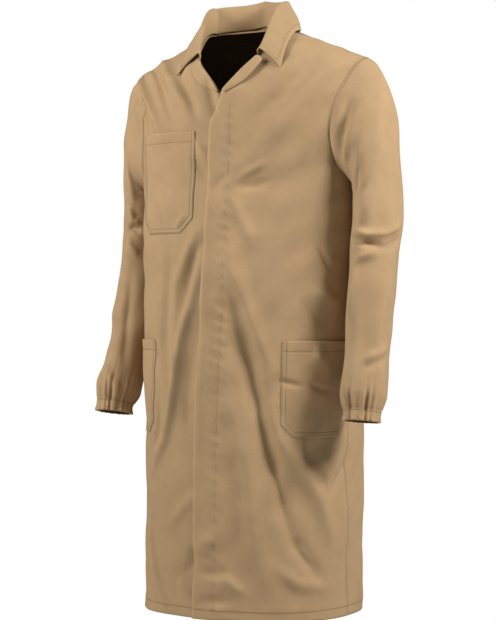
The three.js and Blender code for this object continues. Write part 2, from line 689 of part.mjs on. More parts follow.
// Facing behind the back neck
function backNeckFacing() {
  const place = (s, t) => {
    const [u, seam] = backNeck(Math.abs(2 * s - 1));
    const v = seam - FACING_BELOW_SEAM - (1 - t) * FACING_DEPTH;
    return [s < 0.5 ? 2 * Math.PI - u : u, v];
  };
  return clothSheet(steps(5), steps(18, 0.03, 0.97), place, () => -CLOTH - FACING_GAP);
}

// Closed loop of tape hanging down inside the back neck
function hangerLoop() {
  const outline = new THREE.Shape();
  const half = LOOP_WIDTH / 2;
  const corner = half;
  outline.moveTo(-half, 0);
  outline.lineTo(-half, -LOOP_LENGTH + corner);
  outline.absarc(0, -LOOP_LENGTH + corner, half, Math.PI, 2 * Math.PI);
  outline.lineTo(half, 0);
  outline.closePath();
  const hole = new THREE.Path();
  const inner = half - LOOP_TAPE;
  hole.moveTo(-inner, -LOOP_TAPE);
  hole.lineTo(inner, -LOOP_TAPE);
  hole.lineTo(inner, -LOOP_LENGTH + corner);
  hole.absarc(0, -LOOP_LENGTH + corner, inner, 2 * Math.PI, Math.PI, true);
  hole.closePath();
  outline.holes.push(hole);
  const geometry = new THREE.ExtrudeGeometry(outline, {
    depth: LOOP_THICKNESS, bevelEnabled: false, curveSegments: 10,
  });
  geometry.rotateX(Math.PI / 2);
  const seamV = bodyCoordinates(0, BACK_NECK_HEIGHT, true)[1] - LOOP_BELOW_SEAM;
  const seam = clothPoint(Math.PI, seamV, -2 * CLOTH - FACING_GAP);
  geometry.translate(0, seam.y - LOOP_GAP, seam.z);
  return geometry;
}

// ---------------------------------------------------------------- the coat

const TWILL = 0xb79a6c;
const TWILL_INSIDE = 0x8f7348;
const coat = new THREE.Group();
coat.position.z = -NECK_HEIGHT;

function add(name, geometry, colour = TWILL, roughness = 0.9, metalness = 0) {
  const material = new THREE.MeshStandardMaterial({ color: colour, roughness, metalness });
  const mesh = new THREE.Mesh(geometry, material);
  mesh.name = name;
  coat.add(mesh);
}

add('back_panel', back());
add('left_front_side', frontSide(LEFT_FLAP, leftLift));
add('right_front_side', frontSide(RIGHT_FLAP, noLift));
add('left_front_edge', frontEdge(LEFT_FLAP, leftLift));
add('right_front_edge', frontEdge(RIGHT_FLAP, noLift));
add('fly_strip', flyStrip(), TWILL_INSIDE);
add('right_facing', rightFacing(), TWILL_INSIDE);
add('chest_pocket', pocket(CHEST_POCKET, -1));
add('left_hip_pocket', pocket(HIP_POCKET, 1));
add('right_hip_pocket', pocket(HIP_POCKET, -1));
add('top_collar', collarPly(CLOTH + PLY_GAP / 2, PLY_GAP / 2));
add('under_collar', collarPly(-PLY_GAP / 2, -CLOTH - PLY_GAP / 2));
add('left_lapel', lapel(1, LEFT_LIFT + CLOTH + PLY_GAP, LEFT_LAPEL_FOOT));
add('right_lapel', lapel(-1, CLOTH + PLY_GAP, RIGHT_LAPEL_FOOT));
add('back_neck_facing', backNeckFacing(), TWILL_INSIDE);
add('hanger_loop', hangerLoop(), 0x2c2018);

for (const [name, side, arm] of [['left', 1, LEFT_ARM], ['right', -1, RIGHT_ARM]]) {
  const pieces = sleevePieces(side, arm);
  add(`${name}_sleeve`, pieces.sleeve);
  add(`${name}_cuff_hem`, pieces.cuffHem, TWILL_INSIDE);
  add(`${name}_cuff_elastic`, pieces.cuffElastic, 0xe8e4da, 0.8);
}

for (let i = 0; i < STUD_COUNT; i += 1) {
  add(`snap_stud_${i + 1}`, stud(i), 0xb9b4a6, 0.35, 1);
  add(`snap_socket_${i + 1}`, socket(i), 0xb9b4a6, 0.35, 1);
}

export default coat;
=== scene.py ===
"""The looks of a long cotton work coat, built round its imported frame.

Lengths inside the cloth's own functions are millimetres above the hem, as the coat was cut;
in_frame() turns them into the frame's metres.
"""
import math

import bpy
import numpy as np
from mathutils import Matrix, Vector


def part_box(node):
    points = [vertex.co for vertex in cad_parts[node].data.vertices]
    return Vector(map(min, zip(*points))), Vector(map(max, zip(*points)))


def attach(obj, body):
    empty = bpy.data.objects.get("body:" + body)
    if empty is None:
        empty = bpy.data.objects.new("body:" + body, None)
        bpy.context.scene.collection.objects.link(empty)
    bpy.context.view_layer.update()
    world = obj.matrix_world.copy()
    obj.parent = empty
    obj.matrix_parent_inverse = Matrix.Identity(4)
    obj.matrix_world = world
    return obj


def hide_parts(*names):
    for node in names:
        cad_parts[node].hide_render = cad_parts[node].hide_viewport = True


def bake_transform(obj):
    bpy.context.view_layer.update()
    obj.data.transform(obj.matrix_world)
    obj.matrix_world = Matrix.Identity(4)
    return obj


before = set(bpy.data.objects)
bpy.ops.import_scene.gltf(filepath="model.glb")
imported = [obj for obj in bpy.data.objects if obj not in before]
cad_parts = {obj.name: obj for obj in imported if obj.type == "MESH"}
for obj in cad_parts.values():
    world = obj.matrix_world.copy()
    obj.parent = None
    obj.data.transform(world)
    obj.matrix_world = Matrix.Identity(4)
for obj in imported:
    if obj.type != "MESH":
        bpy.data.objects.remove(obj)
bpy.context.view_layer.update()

bl_info = {
    "name": "Long work coat",
    "version": (1, 0, 0),
    "blender": (4, 5, 0),
    "location": "View3D > Sidebar > Coat",
    "description": "Builds the cloth, seams, stitching and finishes of a long work coat",
    "category": "Object",
}

# ------------------------------------------------------------------ the coat's cut, in mm

NECK = 1034.0
NECK_HALF = 75.0
SHOULDER_HALF = 235.0
SHOULDER_SLOPE = 64 / (SHOULDER_HALF - NECK_HALF)
SHOULDER_ROUND = 185.0
UNDERARM = NECK - 284
BREAK = NECK - 119
BACK_NECK = NECK + 14
BOXINESS = 2.4
SEAM_GAP = 0.2
ROW_UNDERARM, ROW_BREAK = 0.62, 0.76

# depth below the neck: half width, depth of the front, depth of the back
SECTIONS = [
    (0, 193, 160, 180), (320, 194, 149, 180), (480, 205, 136, 152), (640, 210, 123, 130),
    (790, 219, 108, 128), (1000, 243, 106, 118), (1300, 250, 106, 118),
]
NECK_POINTS = [(3, BREAK), (31, NECK - 88), (60, NECK - 58), (71, NECK - 26), (NECK_HALF, NECK)]
FRONT_ARMHOLE = [(204, 775), (194, 820), (196, 868), (209, 920)]
BACK_ARMHOLE = [(212, 775), (206, 820), (208, 868), (217, 920)]

LEFT_EDGE, RIGHT_EDGE = -20.0, 20.0
FLY_WIDTH, FLY_REACH = 42.0, 58.0
LEFT_LIFT, OVERLAP_EASE = 7.6, 48.0
POCKETS = {
    "chest": dict(side=-1, inner=53, width=138, top=849, depth=180, corner=26),
    "left_hip": dict(side=1, inner=130, width=148, top=480, depth=165, corner=22),
    "right_hip": dict(side=-1, inner=130, width=148, top=480, depth=165, corner=22),
}
COLLAR_STAND, COLLAR_STAND_FRONT, COLLAR_FALL, COLLAR_ROLL = 45.0, 13.0, 44.0, 6.0
COLLAR_TURN = 0.42
COLLAR_TIP = (106, 951)
COLLAR_SIDE_EDGE = (NECK_HALF + COLLAR_FALL * 0.55, NECK - COLLAR_FALL * 0.22)
COLLAR_BACK_EDGE = (0, BACK_NECK - COLLAR_FALL * 0.62)
LAPEL_EDGE = [(46, 932), (70, 962), (67, 972)]

SLEEVE_HEAD = dict(height=800, out=252, across=30, slant=62, half_depth=68)
# height, distance out, distance back, half width, half depth
ARMS = {
    1: [(716, 257, -6, 36, 64), (640, 257, -16, 37, 60), (550, 257, -33, 38, 55),
        (455, 260, -52, 35, 48), (392, 262, -68, 38, 46), (366, 262, -74, 31, 36),
        (344, 262, -77, 30, 35)],
    -1: [(716, 255, 46, 36, 64), (640, 254, 36, 37, 60), (550, 254, 16, 38, 55),
         (455, 257, -16, 35, 48), (392, 261, -44, 38, 46), (366, 262, -53, 31, 36),
         (344, 262, -57, 30, 35)],
}
# Heights where the fronts' fold lines bend or end, the left one's last
FLAP_HEIGHTS = np.array([BREAK - 130, BREAK - 80, BREAK - 60, BREAK - 35, BREAK - 10])
FLAP_SHARES = np.round(
    ROW_UNDERARM + (ROW_BREAK - ROW_UNDERARM) * (FLAP_HEIGHTS - UNDERARM) / (BREAK - UNDERARM), 4,
)
# Where a sleeve's points lie along the armhole, from the shoulder down to the underarm
ARMHOLE_SHARES = np.concatenate([
    [ROW_UNDERARM], FLAP_SHARES[:-1], np.linspace(FLAP_SHARES[-1], 1, 10),
])[::-1]

# ------------------------------------------------------------------ soft folds in the cloth
# Each fold: points as (turn round the body in degrees, height), half width, rise, and on which
# side of it the valley lies (-1, 0 or 1). Turns are positive on the wearer's left.

FRONT_FOLDS = [
    ([(-67, 1008), (-44, 908), (-31, 848)], 11, 6.5, 0),
    ([(-72.5, 962), (-50.5, 890), (-41, 842)], 9, -4.5, 0),
    ([(-54.5, 1055), (-32.5, 925), (-22, 860)], 10, -5.0, 0),
    ([(-44, 1060), (-24, 935), (-15.5, 892), (-9.5, 850)], 12, 6.0, 0),
    ([(-21.5, 962), (-13.5, 910), (-8.5, 868)], 9, -4.0, 0),
    ([(-18.5, 995), (-10.5, 928), (-6.5, 870)], 11, 3.0, 0),
    ([(-6, 945), (-3, 902), (-0.5, 862)], 5, -3.5, 0),
    ([(-11, 838), (-7, 815), (-3.5, 785)], 7, 3.0, 0),
    ([(-11.5, 798), (-7.5, 780), (-3.5, 755)], 6, -3.0, 0),
    ([(-6.5, 678), (-13.5, 625), (-18, 578), (-20, 508)], 11, 5.0, 0),
    ([(-7, 655), (-10, 610), (-12, 550)], 8, -4.0, 0),
    ([(-24, 640), (-26, 568), (-27, 480), (-23.5, 400)], 14, -4.5, 0),
    ([
        (-5.5, 630), (-7, 590), (-9.5, 540), (-15, 482), (-17, 435), (-20, 365), (-24.5, 305), (-41, 240),
    ], 9, 7.0, 0),
    ([(-5.5, 498), (-9, 445), (-10.5, 375), (-8, 308)], 13, -4.0, 0),
    ([(-31, 382), (-33, 320), (-43, 275)], 9, -3.5, 0),
    ([(-3, 218), (-9.5, 192), (-19.5, 158)], 10, 3.0, 0),
    ([(-42, 185), (-37.5, 125), (-32, 70), (-23, 18)], 7, 4.0, 0),
    ([(-13.5, 65), (-8.5, 50), (-4.5, 40)], 10, 4.0, 0),
    ([(-4.5, 125), (-5.5, 90), (-10, 78)], 10, -3.5, 0),
    ([(50.5, 995), (37, 900), (17.5, 822), (7, 762)], 20, 5.0, 0),
    ([(40, 1000), (26, 905), (9, 845)], 16, -3.5, 0),
    ([(29, 992), (21.5, 928), (9.5, 872)], 16, 3.0, 0),
    ([(51.5, 918), (50, 860), (39, 782), (19, 730)], 20, -3.0, 0),
    ([(60, 842), (57, 772), (41.5, 695)], 22, 3.5, 0),
    ([(7.5, 758), (12.5, 772), (20, 788)], 6, 3.0, 0),
    ([(6.5, 745), (14, 748), (23, 758)], 7, -2.6, 0),
    ([(5, 735), (9, 700), (16, 650)], 8, 3.2, 0),
    ([(-2.5, 735), (0.5, 758), (4, 772)], 6, -2.6, 0),
    ([(0, 735), (2, 715), (4, 690)], 6, 2.8, 0),
    ([(5, 658), (7.5, 605), (12.5, 558), (22, 482), (30.5, 428)], 13, 5.5, 0),
    ([
        (8.5, 565), (11.5, 520), (16, 465), (21.5, 402), (28, 338), (35, 268), (41.5, 182), (48.5, 132),
    ], 15, -9.0, 0),
    ([(7.5, 448), (12, 375), (17, 302), (22.5, 230), (24, 160), (28.5, 98), (37, 35)], 20, 5.5, 0),
    ([(26, 380), (38, 310), (55.5, 250), (67, 198), (78.5, 125)], 20, 8.0, 0),
    ([(54, 640), (58.5, 625), (65.5, 608)], 7, -2.6, 0),
    ([(52.5, 565), (63, 558), (76.5, 540)], 12, 3.4, 0),
    ([(44.5, 550), (56, 522), (71, 505)], 12, -2.2, 0),
    ([(55, 300), (64.5, 258), (74, 220)], 12, -4.5, 0),
    ([(94, 288), (87, 250), (75.5, 218)], 12, -4.5, 0),
    ([(89, 202), (86, 142), (82.5, 100)], 16, 3.0, 0),
    ([(45.5, 145), (55, 112), (67, 72)], 14, -5.0, 0),
    ([(52, 128), (56.5, 115), (61.5, 102)], 4, 2.0, 0),
    ([(38, 90), (51, 65), (73.5, 55)], 11, 5.0, 0),
    ([(9, 78), (13.5, 60), (19, 48)], 8, 3.5, 0),
    ([(-1.5, 78), (3.5, 82), (11, 82)], 9, -3.6, 0),
    ([(-2, 105), (1, 130), (4.5, 152)], 9, 3.4, 0),
    ([(-1.5, 30), (3.5, 35), (11.5, 35)], 7, -3.0, 0),
    ([(33.5, 412), (40.5, 408), (51, 402)], 6, -2.4, 0),
    ([(51, 410), (60, 400), (71.5, 392)], 6, -2.2, 0),
    ([(53.5, 460), (62.5, 445), (70.5, 420)], 16, 3.5, 0),
    ([(-47, 780), (-33.5, 760), (-23, 735)], 9, -2.2, 0),
    ([(-42, 745), (-37, 720), (-31.5, 690)], 8, 2.0, 0),
    ([(-15, 702), (-17.5, 692), (-21, 678)], 6, 1.8, 0),
]
# The back's turns are counted from the middle of the back, positive on the wearer's left.
BACK_FOLDS = [
    ([(-52, 880), (-38, 800), (-30, 690)], 11, 3.0, 1),
    ([(52, 880), (40, 790), (33, 680)], 12, 3.0, -1),
    ([(-60, 800), (-48, 740), (-42, 640)], 9, 2.4, 1),
    ([(61, 810), (50, 730), (46, 630)], 9, 2.2, -1),
    ([(-34, 965), (-10, 948), (14, 950), (36, 968)], 14, 1.8, 0),
    ([(-22, 640), (-19, 500), (-24, 300), (-22, 90)], 17, 3.0, 1),
    ([(-2, 700), (3, 560), (1, 380), (4, 160)], 20, 2.4, -1),
    ([(24, 620), (21, 470), (27, 280), (26, 70)], 18, 3.2, -1),
    ([(-47, 560), (-44, 400), (-50, 200)], 16, 2.6, 1),
    ([(49, 540), (47, 380), (52, 170)], 16, 2.6, -1),
    ([(-66, 640), (-40, 600), (-14, 612)], 9, 1.8, 0),
    ([(66, 650), (44, 612), (18, 604)], 9, 1.7, 0),
    ([(-70, 420), (-68, 260), (-72, 60)], 13, 2.0, 0),
    ([(71, 400), (69, 240), (73, 50)], 13, 2.0, 0),
]
# On a sleeve the first number is the turn round the arm from its outer line, positive to the
# front, and the second is the distance down from the armhole.
SLEEVE_FOLDS = {1: [
    ([(18, 0), (48, 4), (102, 8), (140, 0)], 8, 2.0, 0),
    ([(40, 15), (72, 23), (115, 27)], 6, -3.5, 0),
    ([(42, 33), (78, 40), (125, 37)], 6, 4.0, 0),
    ([(28, 37), (48, 42), (68, 46)], 7, 2.5, 0),
    ([(78, 83), (105, 119), (132, 171)], 12, -3.0, 0),
    ([(40, 102), (62, 119), (85, 137)], 8, 2.5, 0),
    ([(35, 123), (70, 162), (98, 208)], 14, 3.0, 0),
    ([(118, 212), (72, 221), (38, 214), (-10, 187)], 8, 6.0, 0),
    ([(120, 225), (82, 233), (52, 237), (25, 237)], 6, -5.5, 0),
    ([(40, 248), (70, 256), (98, 264)], 9, 3.5, 0),
    ([(-22, 208), (10, 227), (30, 241)], 8, -2.5, 0),
    ([(135, 229), (135, 268), (132, 316)], 9, -4.0, 0),
    ([(95, 271), (102, 320), (112, 370)], 9, 3.5, 0),
    ([(25, 279), (32, 350), (38, 420)], 16, 3.0, 0),
    ([(65, 337), (65, 406), (65, 474)], 16, -2.0, 0),
    ([(-8, 404), (28, 422), (62, 437)], 8, 3.0, 0),
    ([(-2, 425), (30, 439), (65, 452)], 7, -2.2, 0),
], -1: [
    ([(20, 11), (38, 15), (80, 11)], 6, 3.0, 0),
    ([(38, 48), (82, 35), (110, 26)], 7, -3.0, 0),
    ([(85, 58), (102, 102), (100, 167)], 9, 2.0, 0),
    ([(88, 167), (102, 197), (120, 201)], 8, 5.5, 0),
    ([(85, 208), (102, 208), (122, 216)], 6, -6.0, 0),
    ([(85, 227), (100, 247), (120, 260)], 8, 3.5, 0),
    ([(60, 288), (60, 372), (82, 455)], 12, 2.5, 0),
    ([(102, 294), (110, 392), (132, 489)], 12, -3.0, 0),
    ([(78, 485), (110, 513), (138, 526)], 8, 2.5, 0),
]}


# ------------------------------------------------------------------ curves and surfaces

def lerp(a, b, t):
    return a + (b - a) * t


def ramp(a, b, x):
    t = np.clip((x - a) / (b - a), 0, 1)
    return t * t * (3 - 2 * t)


def signed_power(x, p):
    return np.sign(x) * np.abs(x) ** p


def through(rows, x):
    """A smooth curve through rows of numbers, looked up by the first number of each."""
    rows = np.asarray(rows, float)
    keys, values = rows[:, 0], rows[:, 1:]
    x = np.asarray(x, float)
    low, high = np.maximum(np.arange(len(keys)) - 1, 0), np.minimum(np.arange(len(keys)) + 1, len(keys) - 1)
    slopes = (values[high] - values[low]) / (keys[high] - keys[low])[:, None]
    i = np.clip(np.searchsorted(keys[1:], x, side="left"), 0, len(keys) - 2)
    span = (keys[i + 1] - keys[i])[..., None]
    t = ((x - keys[i])[..., None]) / span
    m0, m1 = slopes[i] * span, slopes[i + 1] * span
    rise = values[i + 1] - values[i]
    return values[i] + t * (m0 + t * (3 * rise - 2 * m0 - m1 + t * (m0 + m1 - 2 * rise)))


def through_points(points, t):
    """A smooth curve through points at equal steps of t, from 0 to 1."""
    keys = np.linspace(0, 1, len(points))
    return through(np.column_stack([keys, np.asarray(points, float)]), t)


def shoulder_line(x):
    return NECK - SHOULDER_SLOPE * (np.abs(x) - NECK_HALF)


def body_point(u, v):
    """The body's surface: u runs round from the middle of the front, v up from the hem."""
    u, v = np.broadcast_arrays(np.asarray(u, float), np.asarray(v, float))
    half, front, back = np.moveaxis(through(SECTIONS, v), -1, 0)
    depth = np.where(np.cos(u) >= 0, front, back)
    x = half * signed_power(np.sin(u), 2 / BOXINESS)
    y = -depth * signed_power(np.cos(u), 2 / BOXINESS)
    upright = shoulder_line(x) - SHOULDER_ROUND
    arc = np.maximum(0, v - upright) / SHOULDER_ROUND
    z = np.where(arc > 0, upright + SHOULDER_ROUND * np.sin(arc), v)
    return np.stack([x, y * np.cos(arc), z], axis=-1)


def unit(vectors):
    length = np.linalg.norm(vectors, axis=-1, keepdims=True)
    return vectors / np.maximum(length, 1e-9)


def body_normal(u, v):
    around = body_point(u + 0.02, v) - body_point(u - 0.02, v)
    up = body_point(u, v + 1) - body_point(u, v - 1)
    return unit(np.cross(around, up))


def body_coordinates(x, height, back=False):
    x, height = np.asarray(x, float), np.asarray(height, float)
    upright = shoulder_line(x) - SHOULDER_ROUND
    rise = np.clip((height - upright) / SHOULDER_ROUND, 0, 1)
    v = np.where(height <= upright, height, upright + SHOULDER_ROUND * np.arcsin(rise))
    share = np.minimum(1, np.abs(x) / through(SECTIONS, v)[..., 0])
    u = np.sign(x) * np.arcsin(share ** (BOXINESS / 2))
    return (np.pi - u if back else u), v


def fold_height(a, b, folds):
    """Rise of the cloth at places (a, b), both in mm, from a list of folds."""
    total = np.zeros(np.broadcast(a, b).shape)
    for points, width, rise, valley in folds:
        line = np.asarray(points, float)
        lengths = np.linalg.norm(np.diff(line, axis=0), axis=1)
        whole = lengths.sum()
        nearest = np.full(total.shape, 1e9)
        along = np.zeros(total.shape)
        side = np.zeros(total.shape)
        walked = 0.0
        for (a0, b0), (a1, b1), length in zip(line[:-1], line[1:], lengths):
            da, db = (a1 - a0) / length, (b1 - b0) / length
            t = np.clip((a - a0) * da + (b - b0) * db, 0, length)
            away = np.hypot(a - a0 - t * da, b - b0 - t * db)
            closer = away < nearest
            nearest = np.where(closer, away, nearest)
            along = np.where(closer, walked + t, along)
            side = np.where(closer, np.sign((a - a0) * db - (b - b0) * da), side)
            walked += length
        fade = np.sin(np.pi * np.clip(along / whole, 0.02, 0.98)) ** 0.6
        crest = np.exp(-((nearest / width) ** 2))
        dip = np.exp(-(((nearest - 1.35 * width) / (0.8 * width)) ** 2)) * (side == valley)
        total += rise * fade * (crest - 0.55 * dip * (valley != 0))
    return total


def ripples(a, b, seed, lengths=(55, 130), rise=1.0, count=14):
    """Faint irregular waves that no hanging cloth is free of."""
    chance = np.random.default_rng(seed)
    total = np.zeros(np.broadcast(a, b).shape)
    for _ in range(count):
        turn = chance.uniform(0, np.pi)
        reach = chance.uniform(*lengths)
        phase = chance.uniform(0, 2 * np.pi)
        total += np.sin((a * np.cos(turn) + b * np.sin(turn)) * 2 * np.pi / reach + phase)
    return total * rise / math.sqrt(count)


BODY_MM_PER_DEGREE = 3.5           # way round the body's cloth for each degree of turn
SLEEVE_MM_PER_DEGREE = 0.95        # the same round a sleeve


def in_mm(folds, mm_per_degree):
    """The folds with their turns in degrees changed to lengths of cloth."""
    return [([(turn * mm_per_degree, q) for turn, q in fold[0]], *fold[1:]) for fold in folds]


def body_relief(u, v):
    """Folds and ripples of the body's cloth at its surface coordinates."""
    a = np.degrees(u) * BODY_MM_PER_DEGREE
    scale = bpy.context.scene.coat_cloth.fold_depth
    front = fold_height(a, v, in_mm(FRONT_FOLDS, BODY_MM_PER_DEGREE))
    back_a = np.degrees(np.pi - np.abs(u)) * BODY_MM_PER_DEGREE * np.sign(u)
    soft = ripples(200 * np.sin(u), v + 130 * np.cos(u), 5, rise=0.7)
    back = fold_height(back_a, v, in_mm(BACK_FOLDS, BODY_MM_PER_DEGREE))
    return scale * (front * (np.cos(u) > -0.3) + back * (np.cos(u) < 0.3) + soft)


def cloth_point(u, v, out=0.0, folded=True):
    """A point of cloth lying `out` off the body's surface, following its folds."""
    lift = out + (body_relief(u, v) if folded else 0)
    point = body_point(u, v) + body_normal(u, v) * np.asarray(lift)[..., None]
    point[..., 1] += np.where(np.cos(u) >= 0, -SEAM_GAP, SEAM_GAP)
    return point


# ------------------------------------------------------------------ edges of the body's pieces

def row_height(t):
    return UNDERARM * t / ROW_UNDERARM


def outer_edge(t, back):
    t = np.asarray(t, float)
    armhole = BACK_ARMHOLE if back else FRONT_ARMHOLE
    places = [body_coordinates(x, z, back) for x, z in armhole]
    tip = body_coordinates(SHOULDER_HALF, shoulder_line(SHOULDER_HALF), back)
    share = np.clip((t - ROW_UNDERARM) / (1 - ROW_UNDERARM), 0, 1)
    curve = through_points([(np.pi / 2, UNDERARM), *places, tip], share)
    low = t <= ROW_UNDERARM
    return np.where(low, np.pi / 2, curve[..., 0]), np.where(low, row_height(t), curve[..., 1])


def front_neck(t):
    return through_points(NECK_POINTS, t)


def front_edge_line(t, edge):
    """Inner edge of a front: its straight front edge, the turn at the break, then the neck."""
    side = 1 if edge < 0 else -1
    t = np.asarray(t, float)
    height = np.where(
        t <= ROW_UNDERARM, row_height(t),
        lerp(UNDERARM, BREAK, (t - ROW_UNDERARM) / (ROW_BREAK - ROW_UNDERARM)),
    )
    bend = ramp(BREAK - 75, BREAK, height) ** 1.6
    straight = lerp(edge, side * NECK_POINTS[0][0], bend)
    neck = front_neck(np.clip((t - ROW_BREAK) / (1 - ROW_BREAK), 0, 1))
    above = t > ROW_BREAK
    return np.where(above, side * neck[..., 0], straight), np.where(above, neck[..., 1], height)


def follow_shoulder(start, end, s, t):
    wide = through(SECTIONS, NECK)[0]
    line = lambda u: shoulder_line(wide * np.abs(np.sin(u)) ** (2 / BOXINESS))
    sag = line(lerp(start, end, s)) - lerp(line(start), line(end), s)
    return sag * ramp(ROW_BREAK, 1, t)


def front_place(s, t, edge):
    side = 1 if edge < 0 else -1
    inner_u, inner_v = body_coordinates(*front_edge_line(t, edge))
    outer_u, outer_v = outer_edge(t, False)
    outer_u = side * outer_u
    u = lerp(inner_u, outer_u, s)
    return u, lerp(inner_v, outer_v, s) + follow_shoulder(inner_u, outer_u, s, t)


def back_neck(share):
    start = body_coordinates(0, BACK_NECK, True)
    end = body_coordinates(NECK_HALF, NECK, True)
    return lerp(np.pi, end[0], share ** 0.75), lerp(start[1], end[1], share ** 1.6)


def back_place(s, t):
    """The back, s from -1 at the wearer's right to 1 at the left."""
    share = np.maximum(0, (t - ROW_BREAK) / (1 - ROW_BREAK))
    neck_u, neck_v = back_neck(share)
    start_v = body_coordinates(0, BACK_NECK, True)[1]
    rise = np.where(
        row_height(t) <= UNDERARM, row_height(t),
        lerp(UNDERARM, start_v, (t - ROW_UNDERARM) / (ROW_BREAK - ROW_UNDERARM)),
    )
    inner_u, inner_v = np.where(share > 0, neck_u, np.pi), np.where(share > 0, neck_v, rise)
    outer_u, outer_v = outer_edge(t, True)
    reach = np.abs(s)
    u = lerp(inner_u, outer_u, reach)
    v = lerp(inner_v, outer_v, reach) + follow_shoulder(inner_u, outer_u, reach, t)
    return np.where(s < 0, 2 * np.pi - u, u), v


def left_lift(x):
    return LEFT_LIFT * (1 - ramp(24, 24 + OVERLAP_EASE, x))


# ------------------------------------------------------------------ meshes

def in_frame(points):
    """Millimetres above the hem to the frame's metres."""
    return (np.asarray(points, float) - (0, 0, NECK)) * 0.001


def grid_normals(points, ring=False):
    across = np.roll(points, -1, 1) - np.roll(points, 1, 1)
    if not ring:
        across[:, 0], across[:, -1] = points[:, 1] - points[:, 0], points[:, -1] - points[:, -2]
    along = np.gradient(points, axis=0)
    return unit(np.cross(across, along))


def cloth_lengths(points):
    """Distances in metres across and along a grid of cloth, for its weave to follow."""
    across = np.linalg.norm(np.diff(points, axis=1), axis=2)
    along = np.linalg.norm(np.diff(points, axis=0), axis=2)
    u = np.concatenate([np.zeros((points.shape[0], 1)), np.cumsum(across, axis=1)], axis=1)
    v = np.concatenate([[0], np.cumsum(along.mean(axis=1))])
    u -= u[:, u.shape[1] // 2][:, None]
    return u * 0.001, np.broadcast_to(v[:, None], u.shape) * 0.001


def cloth_mesh(name, points, ring=False, flip=False, worn=None):
    """A mesh from a grid of points in mm, [row][column]. A ring's last column meets its first."""
    rows, cols = points.shape[:2]
    wide = np.concatenate([points, points[:, :1]], axis=1) if ring else points
    u, v = cloth_lengths(wide)
    across = cols if ring else cols - 1
    i, j = np.meshgrid(np.arange(rows - 1), np.arange(across), indexing="ij")
    nxt = (j + 1) % cols
    corners = [i * cols + j, i * cols + nxt, (i + 1) * cols + nxt, (i + 1) * cols + j]
    uv_at = [(i, j), (i, j + 1), (i + 1, j + 1), (i + 1, j)]
    if flip:
        corners, uv_at = corners[::-1], uv_at[::-1]
    faces = np.stack(corners, axis=-1).reshape(-1, 4)
    mesh = bpy.data.meshes.new(name)
    mesh.from_pydata(in_frame(points).reshape(-1, 3), [], faces.tolist())
    uvs = np.stack([np.stack([u[a, b], v[a, b]], -1) for a, b in uv_at], axis=2).reshape(-1)
    layer = mesh.uv_layers.new(name="cloth")
    layer.data.foreach_set("uv", uvs.astype(np.float32))
    wear = mesh.attributes.new("wear", "FLOAT", "POINT")
    values = np.zeros((rows, cols)) if worn is None else worn
    wear.data.foreach_set("value", values.astype(np.float32).reshape(-1))
    mesh.polygons.foreach_set("use_smooth", [True] * len(mesh.polygons))
    mesh.update()
    piece = bpy.data.objects.new(name, mesh)
    bpy.context.scene.collection.objects.link(piece)
    return piece


def edge_wear(points, reach=6.0, edges="lrtb"):
    """How near each point lies to the piece's edges, 1 at an edge."""
    rows, cols = points.shape[:2]
    across = np.linalg.norm(np.diff(points, axis=1), axis=2)
    u = np.concatenate([np.zeros((rows, 1)), np.cumsum(across, axis=1)], axis=1)
    along = np.linalg.norm(np.diff(points, axis=0), axis=2)
    v = np.concatenate([np.zeros((1, cols)), np.cumsum(along, axis=0)], axis=0)
    near = np.full((rows, cols), 1e9)
    choices = {"l": u, "r": u[:, -1:] - u, "b": v, "t": v[-1:] - v}
    for edge in edges:
        near = np.minimum(near, choices[edge])
    return np.exp(-((near / reach) ** 2))


def thicken(piece, thickness, inside=True):
    """Gives a sheet of cloth its real thickness, inwards, with its inner faces in the darkened inside twill,
    which is painted shade.
    """
    wall = piece.modifiers.new("cloth thickness", "SOLIDIFY")
    wall.thickness = thickness * 0.001
    wall.offset = -1
    wall.use_quality_normals = True
    if inside:
        piece.data.materials.append(twill_inside())
        wall.material_offset = 1
    return piece


def cut_size(points, ring=False):
    """Width, length and area in metres of the flat piece that a grid of cloth was cut from."""
    wide = np.concatenate([points, points[:, :1]], axis=1) if ring else points
    across = np.linalg.norm(np.diff(wide, axis=1), axis=2).sum(axis=1)
    along = np.linalg.norm(np.diff(wide, axis=0), axis=2).sum(axis=0)
    a, b = wide[1:, 1:] - wide[:-1, :-1], wide[1:, :-1] - wide[:-1, 1:]
    area = 0.5 * np.linalg.norm(np.cross(a, b), axis=2).sum()
    width, length = across.max() * 0.001, along.max() * 0.001
    return (width, length), min(area * 1e-6, width * length)


def finish_cloth(piece, points, body, nodes, material, ring=False,
                 thickness=1.1, bend=None):
    """Colour, thickness and body of a piece of cloth; given a bend, its place is baked in instead. Cut size
    is worked out, not kept.
    """
    piece.data.materials.append(material)
    thicken(piece, thickness)
    if nodes:
        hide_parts(*nodes)
    flat, area = cut_size(points, ring)
    if bend:
        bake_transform(piece)
    else:
        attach(piece, body)
    return piece


BENDS = {
    "left_front": ("torso", "left_flap", (0.1114, 0, -0.5744), (0.0616, 0, -0.5786)),
    "right_front": ("torso", "right_flap", (-0.0912, 0, -0.5736), (-0.0414, 0, -0.5793)),
    "left_sleeve": ("torso", "left_arm", (0.2754, 0, -0.0826), (0.3396, 0, -0.1019)),
    "right_sleeve": ("torso", "right_arm", (-0.2754, 0, -0.0826), (-0.3396, 0, -0.1019)),
}

# ------------------------------------------------------------------ materials


